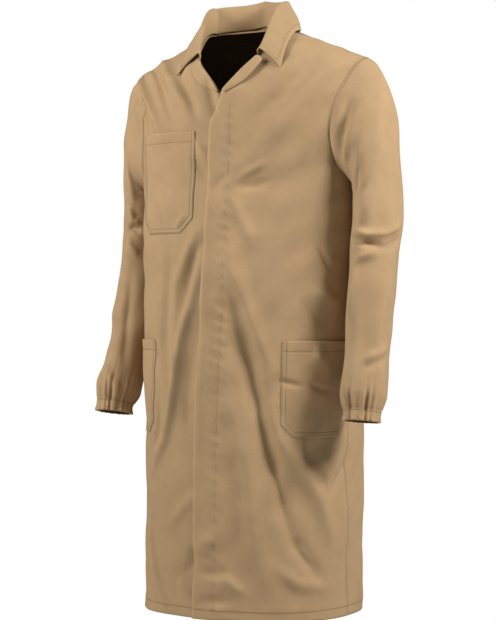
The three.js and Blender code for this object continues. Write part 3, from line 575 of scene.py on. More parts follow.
class Shade:
    """A shader socket that takes part in arithmetic, each operation adding its Math node."""

    def __init__(self, tree, out):
        self.tree, self.out = tree, out

    def node(self, kind, settings=None, inputs=None, output=0):
        """Adds a node, sets it up, then gives its sockets their values or links."""
        made = self.tree.nodes.new(kind)
        for name, value in (settings or {}).items():
            if name == "stops":
                ramp_stops(made.color_ramp, value)
            else:
                setattr(made, name, value)
        for key, value in (inputs or {}).items():
            if isinstance(value, Shade):
                self.tree.links.new(value.out, made.inputs[key])
            else:
                made.inputs[key].default_value = value
        return Shade(self.tree, made.outputs[output])

    def math(self, operation, *others):
        return self.node("ShaderNodeMath", {"operation": operation}, dict(enumerate((self, *others))))

    def reflected(self, operation, other):
        return self.node("ShaderNodeMath", {"operation": operation}, {0: other, 1: self})

    def __add__(self, other): return self.math("ADD", other)
    def __radd__(self, other): return self.math("ADD", other)
    def __sub__(self, other): return self.math("SUBTRACT", other)
    def __rsub__(self, other): return self.reflected("SUBTRACT", other)
    def __mul__(self, other): return self.math("MULTIPLY", other)
    def __rmul__(self, other): return self.math("MULTIPLY", other)
    def __truediv__(self, other): return self.math("DIVIDE", other)
    def __pow__(self, other): return self.math("POWER", other)

    def part(self, axis):
        return self.node("ShaderNodeSeparateXYZ", None, {0: self}, axis)

    def noise(self, scale, detail=3.0, roughness=0.55):
        settings = {"Scale": scale, "Detail": detail, "Roughness": roughness, "Vector": self}
        return self.node("ShaderNodeTexNoise", None, settings)

    def blend(self, first, second):
        """Mixes two colours by this value."""
        inputs = {"Factor": self, 6: first, 7: second}
        return self.node("ShaderNodeMix", {"data_type": "RGBA", "clamp_factor": True}, inputs, 2)

    def bump(self, distance, strength=1.0):
        return self.node("ShaderNodeBump", None,
                         {"Height": self, "Distance": distance, "Strength": strength})


def ramp_stops(band, stops):
    while len(band.elements) < len(stops):
        band.elements.new(1.0)
    for element, (position, value) in zip(band.elements, stops):
        element.position = position
        element.color = (value, value, value, 1)


def new_material(name):
    """A material with its shader, and sockets for the cloth's own map and the object's space."""
    material = bpy.data.materials.new(name)
    material.use_nodes = True
    tree = material.node_tree
    shader = next(n for n in tree.nodes if n.type == "BSDF_PRINCIPLED")
    start = Shade(tree, None)
    place = start.node("ShaderNodeTexCoord", output=3)
    cloth = start.node("ShaderNodeUVMap", {"uv_map": "cloth"})
    return material, shader, cloth, place


def colour(rgb, share=1.0):
    return tuple(min(1.0, c * share) for c in rgb[:3]) + (1.0,)


def connect(shader, **values):
    names = {"colour": "Base Color", "roughness": "Roughness", "normal": "Normal",
             "metallic": "Metallic", "alpha": "Alpha"}
    for name, value in values.items():
        shader.id_data.links.new(value.out, shader.inputs[names[name]])


def twill_cloth(name, rgb, worn_share=1.12):
    """Cotton twill: slanting ribs, uneven yarn, soft fading, and paler worn edges."""
    settings = bpy.context.scene.coat_cloth
    material, shader, cloth, place = new_material(name)
    u, v = cloth.part(0), cloth.part(1)
    turns = 2 * math.pi / settings.rib_pitch
    ribs = (u * (turns * 0.53) + v * (turns * 0.85)).math("SINE")
    threads = (u * (turns * 2.9)).math("SINE") * 0.5 + (v * (turns * 2.9)).math("SINE") * 0.5
    slub = cloth.noise(420.0, 4.0, 0.6)
    fading = place.noise(5.5, 5.0, 0.6)
    patches = place.noise(38.0, 4.0, 0.65)
    wear = cloth.node("ShaderNodeAttribute", {"attribute_name": "wear"}, output=2)
    base = fading.node("ShaderNodeValToRGB", {"stops": [(0.3, 0.0), (0.7, 1.0)]}, {0: fading}, 0)
    tone = base.blend(colour(rgb, 0.93), colour(rgb, 1.05))
    mottle = ((patches - 0.5) * 0.5 + (slub - 0.5) * 0.7 + ribs * 0.05 + 0.5)
    tone = mottle.math("MINIMUM", 1.0).math("MAXIMUM", 0.0).node(
        "ShaderNodeMix", {"data_type": "RGBA", "blend_type": "SOFT_LIGHT"},
        {"Factor": 0.32, 6: tone, 7: mottle}, 2)
    rubbed = (wear * (0.35 + slub * 0.9)).math("MINIMUM", 1.0)
    tone = rubbed.blend(tone, colour(rgb, worn_share))
    height = ribs * 0.5 + threads * 0.22 + slub * 0.9
    connect(shader, colour=tone, roughness=0.82 + slub * 0.16 - wear * 0.06,
            normal=height.bump(0.00022, 0.55))
    shader.inputs["Specular IOR Level"].default_value = 0.28
    shader.inputs["Sheen Weight"].default_value = settings.sheen
    shader.inputs["Sheen Roughness"].default_value = 0.45
    shader.inputs["Sheen Tint"].default_value = colour(rgb, 1.7)
    return material


def once(name, make):
    return bpy.data.materials.get(name) or make()


def twill():
    rgb = bpy.context.scene.coat_cloth.twill_colour
    return once("cotton twill", lambda: twill_cloth("cotton twill", rgb))


# Painted shade: the cloth's inner faces, the back neck facing and the cuff hems get a twill far darker than
# the outside, standing in for the shade inside the coat.
def twill_inside():
    rgb = bpy.context.scene.coat_cloth.inside_painted_shade_colour
    return once("twill inside painted shade", lambda: twill_cloth("twill inside painted shade", rgb, 1.3))


def thread():
    def make():
        rgb = bpy.context.scene.coat_cloth.thread_colour
        material, shader, _, place = new_material("sewing thread")
        x, z = place.part(0), place.part(2)
        twist = ((x + z) * 9000.0).math("SINE")
        shine = place.noise(160.0)
        connect(shader, colour=shine.blend(colour(rgb, 0.85), colour(rgb, 1.2)),
                roughness=0.5 + shine * 0.25, normal=twist.bump(0.00008, 0.5))
        return material
    return once("sewing thread", make)


def elastic_weave():
    def make():
        material, shader, cloth, place = new_material("woven elastic")
        ribs = (cloth.part(1) * (2 * math.pi / 0.0016)).math("SINE")
        crimp = (cloth.part(0) * (2 * math.pi / 0.0011)).math("SINE")
        grime = place.noise(60.0, 4.0)
        connect(shader, colour=grime.blend(colour((0.62, 0.58, 0.5)), colour((0.82, 0.8, 0.74))),
                roughness=0.7 + grime * 0.2, normal=(ribs + crimp * 0.5).bump(0.0003, 0.7))
        return material
    return once("woven elastic", make)


def loop_tape():
    def make():
        rgb = bpy.context.scene.coat_cloth.tape_colour
        material, shader, cloth, place = new_material("woven tape")
        u, v = cloth.part(0), cloth.part(1)
        chevron = (u.math("ABSOLUTE") * 1.0 + v) * (2 * math.pi / 0.0014)
        yarn = chevron.math("SINE")
        fluff = place.noise(500.0)
        connect(shader, colour=fluff.blend(colour(rgb, 0.7), colour(rgb, 1.6)),
                roughness=0.75 + fluff * 0.2, normal=(yarn + fluff).bump(0.0002, 0.7))
        return material
    return once("woven tape", make)


def stud_metal():
    def make():
        rgb = bpy.context.scene.coat_cloth.metal_colour
        material, shader, _, place = new_material("satin nickel")
        grain = place.noise(900.0, 2.0)
        tarnish = place.noise(120.0, 4.0)
        connect(shader, colour=tarnish.blend(colour(rgb, 0.72), colour(rgb)),
                roughness=0.26 + grain * 0.16 + tarnish * 0.12, normal=grain.bump(0.00004, 0.4))
        shader.inputs["Metallic"].default_value = 1.0
        return material
    return once("satin nickel", make)


# ------------------------------------------------------------------ the body's cloth

EDGE_RISE = 6.0                    # how far the left front's edge stands up from the right front
EDGE_RISE_REACH = 9                # how far in from the edge the cloth still rises
EDGE_RISE_HEIGHT = 400             # height where the edge stands up most


def front_relief(points_u, points_v, left):
    """Puckers along the fly's stitching and the rise of the front edge, on the left front."""
    on = body_point(points_u, points_v)
    x, z = on[..., 0], on[..., 2]
    if not left:
        return np.zeros(x.shape)
    settings = bpy.context.scene.coat_cloth
    line = LEFT_EDGE + FLY_WIDTH
    chance = ripples(x * 0.2, z, 21, (60, 150), 0.5, 6)
    slant = z + 0.55 * (x - LEFT_EDGE) + 6 * chance
    pucker = np.cos(2 * np.pi * slant / settings.pucker_pitch) * (0.7 + 0.5 * chance)
    reach = np.where(x < line, 17.0, 9.0)
    below = 1 - ramp(BREAK - 60, BREAK, z)
    gather = pucker * np.exp(-(((x - line) / reach) ** 2)) * settings.pucker * 1000
    gather *= 0.55 + 0.75 * np.exp(-(((z - 520) / 190) ** 2))
    seam = -1.1 * np.exp(-(((x - line) / 2.4) ** 2))
    standing = 0.35 + np.exp(-(((z - EDGE_RISE_HEIGHT) / 160) ** 2))
    edge = EDGE_RISE * np.exp(-(((x - LEFT_EDGE) / EDGE_RISE_REACH) ** 2)) * standing
    edge *= 1 - ramp(BREAK - 120, BREAK - 40, z)
    return (gather + seam) * below + edge * ramp(0, 90, z)


def hem_roll(v):
    """The turned-up hem: a faint ridge above its stitching."""
    return 0.5 * np.exp(-(((v - 20) / 5) ** 2)) - 0.5 * np.exp(-(((v - 16.5) / 2.0) ** 2))


def front_points(left, cols=86, rows=230):
    edge = LEFT_EDGE if left else RIGHT_EDGE
    s, t = np.meshgrid(np.linspace(0, 1, cols), np.linspace(0, 1, rows))
    u, v = front_place(s, t, edge)
    on = body_point(u, v)
    out = front_relief(u, v, left) + hem_roll(v)
    if left:
        out = out + left_lift(on[..., 0])
    turned = np.clip(1 - np.linalg.norm(on - on[:, :1], axis=2) / 2.2, 0, 1)
    return cloth_point(u, v, out - 1.2 * turned ** 2)


class COAT_OT_fronts(bpy.types.Operator):
    """Make the two fronts, the left lying over the right"""
    bl_idname = "coat.fronts"
    bl_label = "Fronts"

    def execute(self, context):
        for side in ("left", "right"):
            points = front_points(side == "left")
            name = f"{side}_front_cloth"
            piece = cloth_mesh(name, points, flip=side == "right", worn=edge_wear(points, 3.5, "lb"))
            finish_cloth(piece, points, None,
                         (f"{side}_front_side", f"{side}_front_edge"), twill(),
                         bend=BENDS[f"{side}_front"])
        return {"FINISHED"}


class COAT_OT_back(bpy.types.Operator):
    """Make the back of the coat"""
    bl_idname = "coat.back"
    bl_label = "Back"

    def execute(self, context):
        s, t = np.meshgrid(np.linspace(-1, 1, 171), np.linspace(0, 1, 230))
        u, v = back_place(s, t)
        points = cloth_point(u, v, hem_roll(v))
        piece = cloth_mesh("back_cloth", points, flip=True, worn=edge_wear(points, 3.5, "b"))
        finish_cloth(piece, points, "torso", ["back_panel"], twill())
        return {"FINISHED"}


def strip_points(inner, outer, out, top, cols=16, rows=150):
    heights = np.linspace(9, top, rows)
    s, z = np.meshgrid(np.linspace(0, 1, cols), heights)
    u, v = body_coordinates(lerp(inner, outer(z), s), z)
    return cloth_point(u, v, out(body_point(u, v)[..., 0]))


class COAT_OT_strips(bpy.types.Operator):
    """Make the strip under the left edge and the facing behind the right edge"""
    bl_idname = "coat.strips"
    bl_label = "Fly strip and facing"

    def execute(self, context):
        fly = strip_points(LEFT_EDGE + 2, lambda z: LEFT_EDGE + FLY_REACH + 0 * z,
                           lambda x: left_lift(x) - 2.3, BREAK - 82)
        piece = cloth_mesh("fly_strip_cloth", fly, worn=edge_wear(fly, 2.0))
        finish_cloth(piece, fly, None, ["fly_strip"], twill(),
                     bend=BENDS["left_front"])
        fold = lambda z: lerp(-118, -14, z / BREAK) + 3
        facing = strip_points(RIGHT_EDGE - 1, lambda z: np.maximum(-32, fold(z)), lambda x: -2.0, BREAK - 132)
        piece = cloth_mesh("right_facing_cloth", facing, flip=True, worn=edge_wear(facing, 2.0))
        finish_cloth(piece, facing, None, ["right_facing"], twill(),
                     bend=BENDS["right_front"])
        return {"FINISHED"}


# ------------------------------------------------------------------ pockets

def pocket_place(pocket, s, t):
    """Surface coordinates inside a pocket, s across and t up, with the lower corners cut."""
    bottom = pocket["top"] - pocket["depth"]
    height = bottom + pocket["depth"] * np.asarray(t, float)
    s, height = np.broadcast_arrays(np.asarray(s, float), height)
    cut = np.maximum(0, 1 - (height - bottom) / pocket["corner"]) * pocket["corner"] / pocket["width"]
    share = lerp(cut, 1 - cut, s)
    start = body_coordinates(pocket["inner"], height)[0]
    walk = np.arange(0, 1.6, 0.004)
    walked = body_point(start[..., None] + walk, height[..., None])
    reached = np.linalg.norm(np.diff(walked, axis=-2), axis=-1)
    reached = np.concatenate([np.zeros(start.shape + (1,)), np.cumsum(reached, axis=-1)], axis=-1)
    u = np.empty(start.shape)
    for index in np.ndindex(start.shape):
        u[index] = start[index] + np.interp(share[index] * pocket["width"], reached[index], walk)
    limit = np.pi / 2 - 0.045
    end = start + 0 * u
    wide = np.empty(start.shape)
    for index in np.ndindex(start.shape):
        wide[index] = start[index] + np.interp(pocket["width"], reached[index], walk)
    end = np.minimum(limit, wide)
    squeeze = (end - start) / (wide - start)
    return pocket["side"] * (start + (u - start) * squeeze), height


def pocket_rise(pocket, s, t):
    """How far a pocket's cloth stands off the front: sewn down at its edges, fuller inside."""
    width, depth, corner = pocket["width"], pocket["depth"], pocket["corner"]
    cut = np.maximum(0, 1 - depth * t / corner) * corner / width
    x = lerp(cut, 1 - cut, s) * width
    z = depth * t
    chamfer_left, chamfer_right = (x + z - corner) / math.sqrt(2), (width - x + z - corner) / math.sqrt(2)
    near = np.minimum.reduce([x, width - x, z, chamfer_left, chamfer_right])
    mouth = depth - z
    full = 1 - np.exp(-np.maximum(near, 0) / 26)
    groove = np.exp(-(((near - 8.0) / 1.6) ** 2)) + 0.7 * np.exp(-(((near - 2.0) / 1.2) ** 2))
    hem = 0.5 * np.exp(-(((mouth - 18) / 2.0) ** 2))
    gape = 1.6 * np.exp(-mouth / 30) * np.sin(np.pi * np.clip(x / width, 0, 1)) ** 0.7
    return 1.35 + 1.4 * full + gape - 0.45 * groove - hem, near


def pocket_points(pocket, cols=70, rows=84):
    s, t = np.meshgrid(np.linspace(0, 1, cols), np.linspace(0, 1, rows))
    u, v = pocket_place(pocket, s, t)
    rise, near = pocket_rise(pocket, s, t)
    return cloth_point(u, v, rise), np.exp(-((np.minimum(near, pocket["depth"] * (1 - t)) / 2.5) ** 2))


class COAT_OT_pockets(bpy.types.Operator):
    """Make the chest pocket and the two hip pockets"""
    bl_idname = "coat.pockets"
    bl_label = "Pockets"

    def execute(self, context):
        for name, pocket in POCKETS.items():
            points, worn = pocket_points(pocket)
            piece = cloth_mesh(f"{name}_pocket_cloth", points, flip=pocket["side"] < 0, worn=worn)
            finish_cloth(piece, points, "torso", [f"{name}_pocket"], twill(),
                         thickness=1.0)
        return {"FINISHED"}


# ------------------------------------------------------------------ collar, lapels, neck

def collar_station(t):
    towards = 1 if t < 0.5 else -1
    share = abs(1 - 2 * t)
    if share <= COLLAR_TURN:
        turn = share / COLLAR_TURN
        side = body_coordinates(*COLLAR_SIDE_EDGE, True)
        middle = body_coordinates(*COLLAR_BACK_EDGE, True)
        edge = (lerp(np.pi, side[0], turn ** 0.8), lerp(middle[1], side[1], turn ** 1.6))
        return back_neck(turn), edge, 0.0, towards
    front = (share - COLLAR_TURN) / (1 - COLLAR_TURN)
    side = body_coordinates(*COLLAR_SIDE_EDGE)
    tip = body_coordinates(*COLLAR_TIP)
    bow = 1.6 * math.sin(math.pi * front)
    edge = (lerp(side[0], tip[0], front), lerp(side[1], tip[1], front) - bow)
    return body_coordinates(*front_neck(lerp(1, 0.5, front))), edge, front, towards


def rounded_line(points, shares):
    """A centripetal curve through points, as even steps from point to point."""
    points = np.asarray(points, float)
    points = np.vstack([2 * points[0] - points[1], points, 2 * points[-1] - points[-2]])
    made = []
    for share in shares:
        place = share * (len(points) - 3)
        k = min(int(place), len(points) - 4)
        t = place - k
        p0, p1, p2, p3 = points[k:k + 4]
        d0, d1, d2 = (max(np.linalg.norm(b - a) ** 0.5, 1e-4) for a, b in ((p0, p1), (p1, p2), (p2, p3)))
        m1 = ((p1 - p0) / d0 - (p2 - p0) / (d0 + d1) + (p2 - p1) / d1) * d1
        m2 = ((p2 - p1) / d1 - (p3 - p1) / (d1 + d2) + (p3 - p2) / d2) * d1
        made.append(p1 + t * (m1 + t * (3 * (p2 - p1) - 2 * m1 - m2 + t * (m1 + m2 - 2 * (p2 - p1)))))
    return np.array(made)


def collar_section(t, shares):
    (seam_u, seam_v), (edge_u, edge_v), front, towards = collar_station(t)
    base = cloth_point(towards * np.float64(seam_u), np.float64(seam_v), 1.5, folded=False)
    edge = cloth_point(towards * np.float64(edge_u), np.float64(edge_v), 4.5, folded=False)
    stand = lerp(COLLAR_STAND, COLLAR_STAND_FRONT, ramp(0, 1, front))
    outward = (edge - base) * (1, 1, 0)
    outward = outward / max(np.linalg.norm(outward), 1e-6)
    up = np.array([0, 0, 1.0])
    lean = base - outward * stand * 0.1
    side = lean + up * stand * 0.75
    roll = side + outward * COLLAR_ROLL * 0.7 + up * stand * 0.25
    over = roll + outward * COLLAR_ROLL - up * stand * 0.22
    fall = (over + edge) / 2 + outward * 3
    return rounded_line([base, side, roll, over, fall, edge], shares)


def collar_ply(depth, rows=221, cols=60):
    middle = np.array([collar_section(t, np.linspace(0, 1, cols)) for t in np.linspace(0, 1, rows)])
    along = np.gradient(middle, axis=0)
    across = np.gradient(middle, axis=1)
    return middle + unit(np.cross(across, along)) * depth


class COAT_OT_collar(bpy.types.Operator):
    """Make the collar's upper and under plies"""
    bl_idname = "coat.collar"
    bl_label = "Collar"

    def execute(self, context):
        for name, depth in (("top_collar", 1.3), ("under_collar", -0.15)):
            points = collar_ply(depth)
            piece = cloth_mesh(f"{name}_cloth", points, worn=edge_wear(points, 2.5, "rbt"))
            finish_cloth(piece, points, "torso", [name], twill())
        return {"FINISHED"}


def lapel_points(side, out, foot, cols=26, rows=70):
    s, t = np.meshgrid(np.linspace(0, 1, cols), np.linspace(0, 1, rows))
    neck = front_neck(lerp(0.02, 0.47, t))
    edge = through_points([foot, *LAPEL_EDGE], t)
    inner = body_coordinates(neck[..., 0] + 1, neck[..., 1])
    outer = body_coordinates(edge[..., 0], edge[..., 1])
    u, v = lerp(inner[0], outer[0], s), lerp(inner[1], outer[1], s)
    puff = 1.6 * np.sin(np.pi * s) ** 1.2 + 1.0 * (1 - s)
    return cloth_point(side * u, v, out + puff)


class COAT_OT_lapels(bpy.types.Operator):
    """Make the turned-back tops of the fronts"""
    bl_idname = "coat.lapels"
    bl_label = "Lapels"

    def execute(self, context):
        for name, side, out, foot in (("left", 1, LEFT_LIFT + 1.9, (12, 912)), ("right", -1, 1.9, (8, 914))):
            points = lapel_points(side, out, foot)
            piece = cloth_mesh(f"{name}_lapel_cloth", points, flip=side < 0, worn=edge_wear(points, 2.5))
            finish_cloth(piece, points, None, [f"{name}_lapel"], twill(),
                         bend=BENDS[f"{name}_front"])
        return {"FINISHED"}


class COAT_OT_neck_facing(bpy.types.Operator):
    """Make the facing inside the back neck, puckered by its seam"""
    bl_idname = "coat.neck_facing"
    bl_label = "Back neck facing"

    def execute(self, context):
        s, t = np.meshgrid(np.linspace(0, 1, 120), np.linspace(0.03, 0.97, 24))
        share = np.abs(2 * s - 1)
        u, seam = back_neck(share)
        v = seam - 3 - (1 - t) * 45
        u = np.where(s < 0.5, 2 * np.pi - u, u)
        pleats = 0.7 * np.sin(s * 2 * np.pi * 13 + 2 * np.sin(s * 9)) * t ** 2
        points = cloth_point(u, v, -3.2 + pleats, folded=False)
        piece = cloth_mesh("back_neck_facing_cloth", points, worn=edge_wear(points, 2.0))
        # Painted shade: the facing is made of the darkened inside twill.
        finish_cloth(piece, points, "torso", ["back_neck_facing"], twill_inside())
        return {"FINISHED"}


class COAT_OT_hanger_loop(bpy.types.Operator):
    """Make the loop of tape that the coat is hung up by"""
    bl_idname = "coat.hanger_loop"
    bl_label = "Hanger loop"

    def execute(self, context):
        low, high = (np.array(corner) * 1000 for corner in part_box("hanger_loop"))
        half = (high[0] - low[0]) / 2
        middle_y = (low[1] + high[1]) / 2
        tape = 1.75
        turn = np.linspace(np.pi, 2 * np.pi, 25)
        reach = half - tape
        foot = low[2] + half
        top = high[2] - tape
        path = [(-reach, top), *[(-reach, lerp(top, foot, k / 8)) for k in range(1, 8)],
                *[(reach * math.cos(a), foot + reach * math.sin(a)) for a in turn],
                *[(reach, lerp(foot, top, k / 8)) for k in range(1, 8)], (reach, top),
                *[(lerp(reach, -reach, k / 6), top) for k in range(1, 6)]]
        path = np.array(path)
        along = unit(np.roll(path, -1, 0) - np.roll(path, 1, 0))
        out = np.stack([along[:, 1], -along[:, 0]], axis=1)
        section = np.linspace(0, 2 * np.pi, 16, endpoint=False)
        rings = []
        for point, aside in zip(path, out):
            wide = signed_power(np.cos(section), 0.7) * tape
            thick = signed_power(np.sin(section), 0.6) * 0.62
            rings.append(np.stack([point[0] + aside[0] * wide, middle_y + thick,
                                   point[1] + aside[1] * wide + NECK], axis=1))
        rings = np.array(rings + rings[:1])
        piece = cloth_mesh("hanger_loop_tape", rings, ring=True)
        weld = piece.modifiers.new("close the loop", "WELD")
        weld.merge_threshold = 1e-5
        piece.data.materials.append(loop_tape())
        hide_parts("hanger_loop")
        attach(piece, "loop")
        return {"FINISHED"}


# ------------------------------------------------------------------ sleeves and cuffs

def armhole_ring(side, turns):
    """Body edge of the armhole, by the turn from the shoulder tip down the front and up the back."""
    count = 2 * len(ARMHOLE_SHARES) - 2
    k = turns / (2 * np.pi) * count
    front = k <= count / 2
    share = np.interp(np.where(front, k, count - k), np.arange(len(ARMHOLE_SHARES)), ARMHOLE_SHARES)
    front_u, front_v = outer_edge(share, False)
    back_u, back_v = outer_edge(share, True)
    u, v = np.where(front, front_u, back_u), np.where(front, front_v, back_v)
    return body_point(side * u, v) + body_normal(side * u, v) * body_relief(side * u, v)[..., None]


def sleeve_rings(side, turns):
    """Rings down a sleeve, from the armhole over the cap to the cuff."""
    stations = ARMS[side]
    head = SLEEVE_HEAD
    cos, sin = np.cos(turns), np.sin(turns)
    start = armhole_ring(side, turns)
    head_back = stations[0][2] * 0.8
    head_ring = np.stack([side * (head["out"] + head["across"] * cos),
                          head_back - head["half_depth"] * sin, head["height"] + head["slant"] * cos], -1)
    low = (1 - cos) / 2
    near = start + np.stack([side * lerp(30, 6, low), 0 * low, lerp(-0.42 * 30, 0.05 * 6, low)], -1)
    far = head_ring + np.stack([side * lerp(-1, 0, low), 0 * low, lerp(42, 10, low)], -1)
    rings = []
    for t in (0, 0.1, 0.22, 0.36, 0.5, 0.64, 0.78, 0.9):
        rings.append((1 - t) ** 3 * start + 3 * t * (1 - t) ** 2 * near
                     + 3 * t * t * (1 - t) * far + t ** 3 * head_ring)
    rings.append(head_ring)
    for i, (height, out, backward, half_width, half_depth) in enumerate(stations):
        before, after = stations[max(i - 1, 0)], stations[min(i + 1, len(stations) - 1)]
        along = [side * (after[1] - before[1]), after[2] - before[2], after[0] - before[0]]
        down = unit(np.array(along, float))
        across = np.array([side, 0, 0.0])
        across = unit(across - down * across.dot(down))
        forward = np.array([0, -1, 0.0])
        forward = unit(forward - down * forward.dot(down))
        centre = np.array([side * out, backward, height], float)
        rings.append(centre + across * (half_width * cos)[:, None] + forward * (half_depth * sin)[:, None])
    return np.array(rings)


def sleeve_relief(side, turns, down, length):
    """Folds, and the gathers that the cuff's elastic draws up."""
    settings = bpy.context.scene.coat_cloth
    a = (np.degrees(turns) + 180) % 360 - 180
    round_sleeve = a * SLEEVE_MM_PER_DEGREE
    folds = fold_height(round_sleeve, down, in_mm(SLEEVE_FOLDS[side], SLEEVE_MM_PER_DEGREE))
    soft = ripples(round_sleeve, down, 31 + side, (45, 110), 0.8)
    soft = soft * np.minimum(1, down / 30) * np.abs(np.cos(turns / 2)) ** 0.1
    left = length - down
    reach = ramp(125, 26, left)
    bunch = sum(np.cos(n * turns + phase) * share for n, phase, share in
                ((17, 0.4, 0.5), (23, 2.1, 0.42), (29, 4.0, 0.3), (11, 1.0, 0.25)))
    held = 1 - 0.55 * np.exp(-(((left - 12) / 7) ** 2))
    gathers = bunch * settings.gather_depth * 1000 * (0.15 + 0.85 * ramp(70, 22, left)) * reach * held
    waist = -1.2 * np.exp(-(((left - 20) / 3.0) ** 2)) * ramp(60, 20, left)
    return settings.fold_depth * (folds + soft) + gathers + waist


SLEEVE_ROWS, SLEEVE_COLUMNS = 190, 128


def sleeve_surface(side):
    """The outer face of a sleeve as a dense grid, with its normals and distances down."""
    turns = np.linspace(0, 2 * np.pi, SLEEVE_COLUMNS, endpoint=False)
    rings = sleeve_rings(side, turns)
    steps = np.linalg.norm(np.diff(rings, axis=0), axis=2).mean(axis=1)
    keys = np.concatenate([[0], np.cumsum(steps)])
    down = np.linspace(0, keys[-1], SLEEVE_ROWS)
    flat = through(np.column_stack([keys, rings.reshape(len(keys), -1)]), down)
    grid = flat.reshape(SLEEVE_ROWS, SLEEVE_COLUMNS, 3)
    normals = grid_normals(grid, ring=True)
    centre = grid.mean(axis=1, keepdims=True)
    normals *= np.sign(np.sum(normals * (grid - centre), axis=(1, 2)))[:, None, None]
    angle, distance = np.meshgrid(turns, down)
    relief = sleeve_relief(side, angle, distance, keys[-1]) * np.minimum(1, distance / 12)
    return grid + normals * relief[..., None], normals, down


class COAT_OT_sleeves(bpy.types.Operator):
    """Make the sleeves, with their turned-up cuff hems and the elastic inside them"""
    bl_idname = "coat.sleeves"
    bl_label = "Sleeves and cuffs"

    def execute(self, context):
        for side, name in ((1, "left"), (-1, "right")):
            grid, normals, down = sleeve_surface(side)
            flip = side < 0
            worn = np.zeros(grid.shape[:2])
            worn[-6:] = np.linspace(0, 1, 6)[:, None]
            piece = cloth_mesh(f"{name}_sleeve_cloth", grid, ring=True, flip=flip, worn=worn)
            finish_cloth(piece, grid, None, [f"{name}_sleeve"], twill(),
                         ring=True, bend=BENDS[f"{name}_sleeve"])
            left = down[-1] - down
            # The cuff hem is made of the darkened inside twill, which is painted shade.
            for part, low, high, inset, material, slot in (
                ("cuff_hem", 0.6, 21.0, 3.3, twill_inside(), "twill_inside"),
                ("cuff_elastic", 3.5, 16.5, 1.9, elastic_weave(), "elastic"),
            ):
                heights = np.linspace(high, low, 9)
                flat = through(np.column_stack([down, (grid - normals * inset).reshape(len(down), -1)]),
                               down[-1] - heights)
                band = flat.reshape(len(heights), SLEEVE_COLUMNS, 3)
                ring = cloth_mesh(f"{name}_{part}_cloth", band, ring=True, flip=flip)
                finish_cloth(ring, band, f"{name}_arm", [f"{name}_{part}"], material,
                             ring=True,
                             thickness=1.0 if part == "cuff_hem" else 0.9)
        return {"FINISHED"}


class COAT_OT_studs(bpy.types.Operator):
    """Give the press studs their satin nickel finish"""
    bl_idname = "coat.studs"
    bl_label = "Press studs"

    def execute(self, context):
        for name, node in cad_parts.items():
            if name.startswith("snap_"):
                node.data.materials.clear()
                node.data.materials.append(stud_metal())
        return {"FINISHED"}


# ------------------------------------------------------------------ stitching

def stitch_tree():
    """Geometry Nodes that lay one short stitch after another along each path."""
    tree = bpy.data.node_groups.new("stitch line", "GeometryNodeTree")
    face = tree.interface
    face.new_socket("Geometry", in_out="INPUT", socket_type="NodeSocketGeometry")
    for label, value in (("Pitch", 0.0034), ("Length", 0.0026), ("Radius", 0.00033)):
        socket = face.new_socket(label, in_out="INPUT", socket_type="NodeSocketFloat")
        socket.default_value = value
    face.new_socket("Thread", in_out="INPUT", socket_type="NodeSocketMaterial")
    face.new_socket("Geometry", in_out="OUTPUT", socket_type="NodeSocketGeometry")
    add, link = tree.nodes.new, tree.links.new
    given, made = add("NodeGroupInput"), add("NodeGroupOutput")
    curve, steps = add("GeometryNodeMeshToCurve"), add("GeometryNodeResampleCurve")
    steps.mode = "LENGTH"
    tangent, align = add("GeometryNodeInputTangent"), add("FunctionNodeAlignRotationToVector")
    align.axis = "Z"
    stitch, lay = add("GeometryNodeMeshCylinder"), add("GeometryNodeInstanceOnPoints")
    stitch.inputs["Vertices"].default_value = 6
    real, colouring = add("GeometryNodeRealizeInstances"), add("GeometryNodeSetMaterial")
    link(given.outputs["Geometry"], curve.inputs["Mesh"])
    link(curve.outputs["Curve"], steps.inputs["Curve"])
    link(given.outputs["Pitch"], steps.inputs["Length"])
    link(given.outputs["Radius"], stitch.inputs["Radius"])
    link(given.outputs["Length"], stitch.inputs["Depth"])
    link(tangent.outputs["Tangent"], align.inputs["Vector"])
    link(steps.outputs["Curve"], lay.inputs["Points"])
    link(stitch.outputs["Mesh"], lay.inputs["Instance"])
    link(align.outputs["Rotation"], lay.inputs["Rotation"])
    link(lay.outputs["Instances"], real.inputs["Geometry"])
    link(real.outputs["Geometry"], colouring.inputs["Geometry"])
    link(given.outputs["Thread"], colouring.inputs["Material"])
    link(colouring.outputs["Geometry"], made.inputs["Geometry"])
    return tree


def sew(name, paths):
    """One mesh of real stitches along paths of points in mm."""
    settings = bpy.context.scene.coat_stitches
    vertices, edges = [], []
    for path in paths:
        start = len(vertices)
        vertices.extend(in_frame(path).tolist())
        edges.extend((start + k, start + k + 1) for k in range(len(path) - 1))
    lines = bpy.data.meshes.new(f"{name} lines")
    lines.from_pydata(vertices, edges, [])
    carrier = bpy.data.objects.new(f"{name} lines", lines)
    bpy.context.scene.collection.objects.link(carrier)
    tree = bpy.data.node_groups.get("stitch line") or stitch_tree()
    sewing = carrier.modifiers.new("stitches", "NODES")
    sewing.node_group = tree
    wanted = {"Pitch": settings.pitch, "Length": settings.length, "Radius": settings.radius,
              "Thread": thread()}
    for item in tree.interface.items_tree:
        if item.in_out == "INPUT" and item.name in wanted:
            sewing[item.identifier] = wanted[item.name]
    bpy.context.view_layer.update()
    shown = carrier.evaluated_get(bpy.context.evaluated_depsgraph_get())
    mesh = bpy.data.meshes.new_from_object(shown)
    mesh.name = name
    bpy.data.objects.remove(carrier)
    piece = bpy.data.objects.new(name, mesh)
    bpy.context.scene.collection.objects.link(piece)
    return piece


def front_line(side, x, heights, lift=0.3):
    u, v = body_coordinates(np.full(len(heights), float(x)), heights)
    left = side > 0
    out = front_relief(u, v, left) + hem_roll(v) + lift
    if left:
        out = out + left_lift(body_point(u, v)[..., 0])
    return cloth_point(u, v, out)


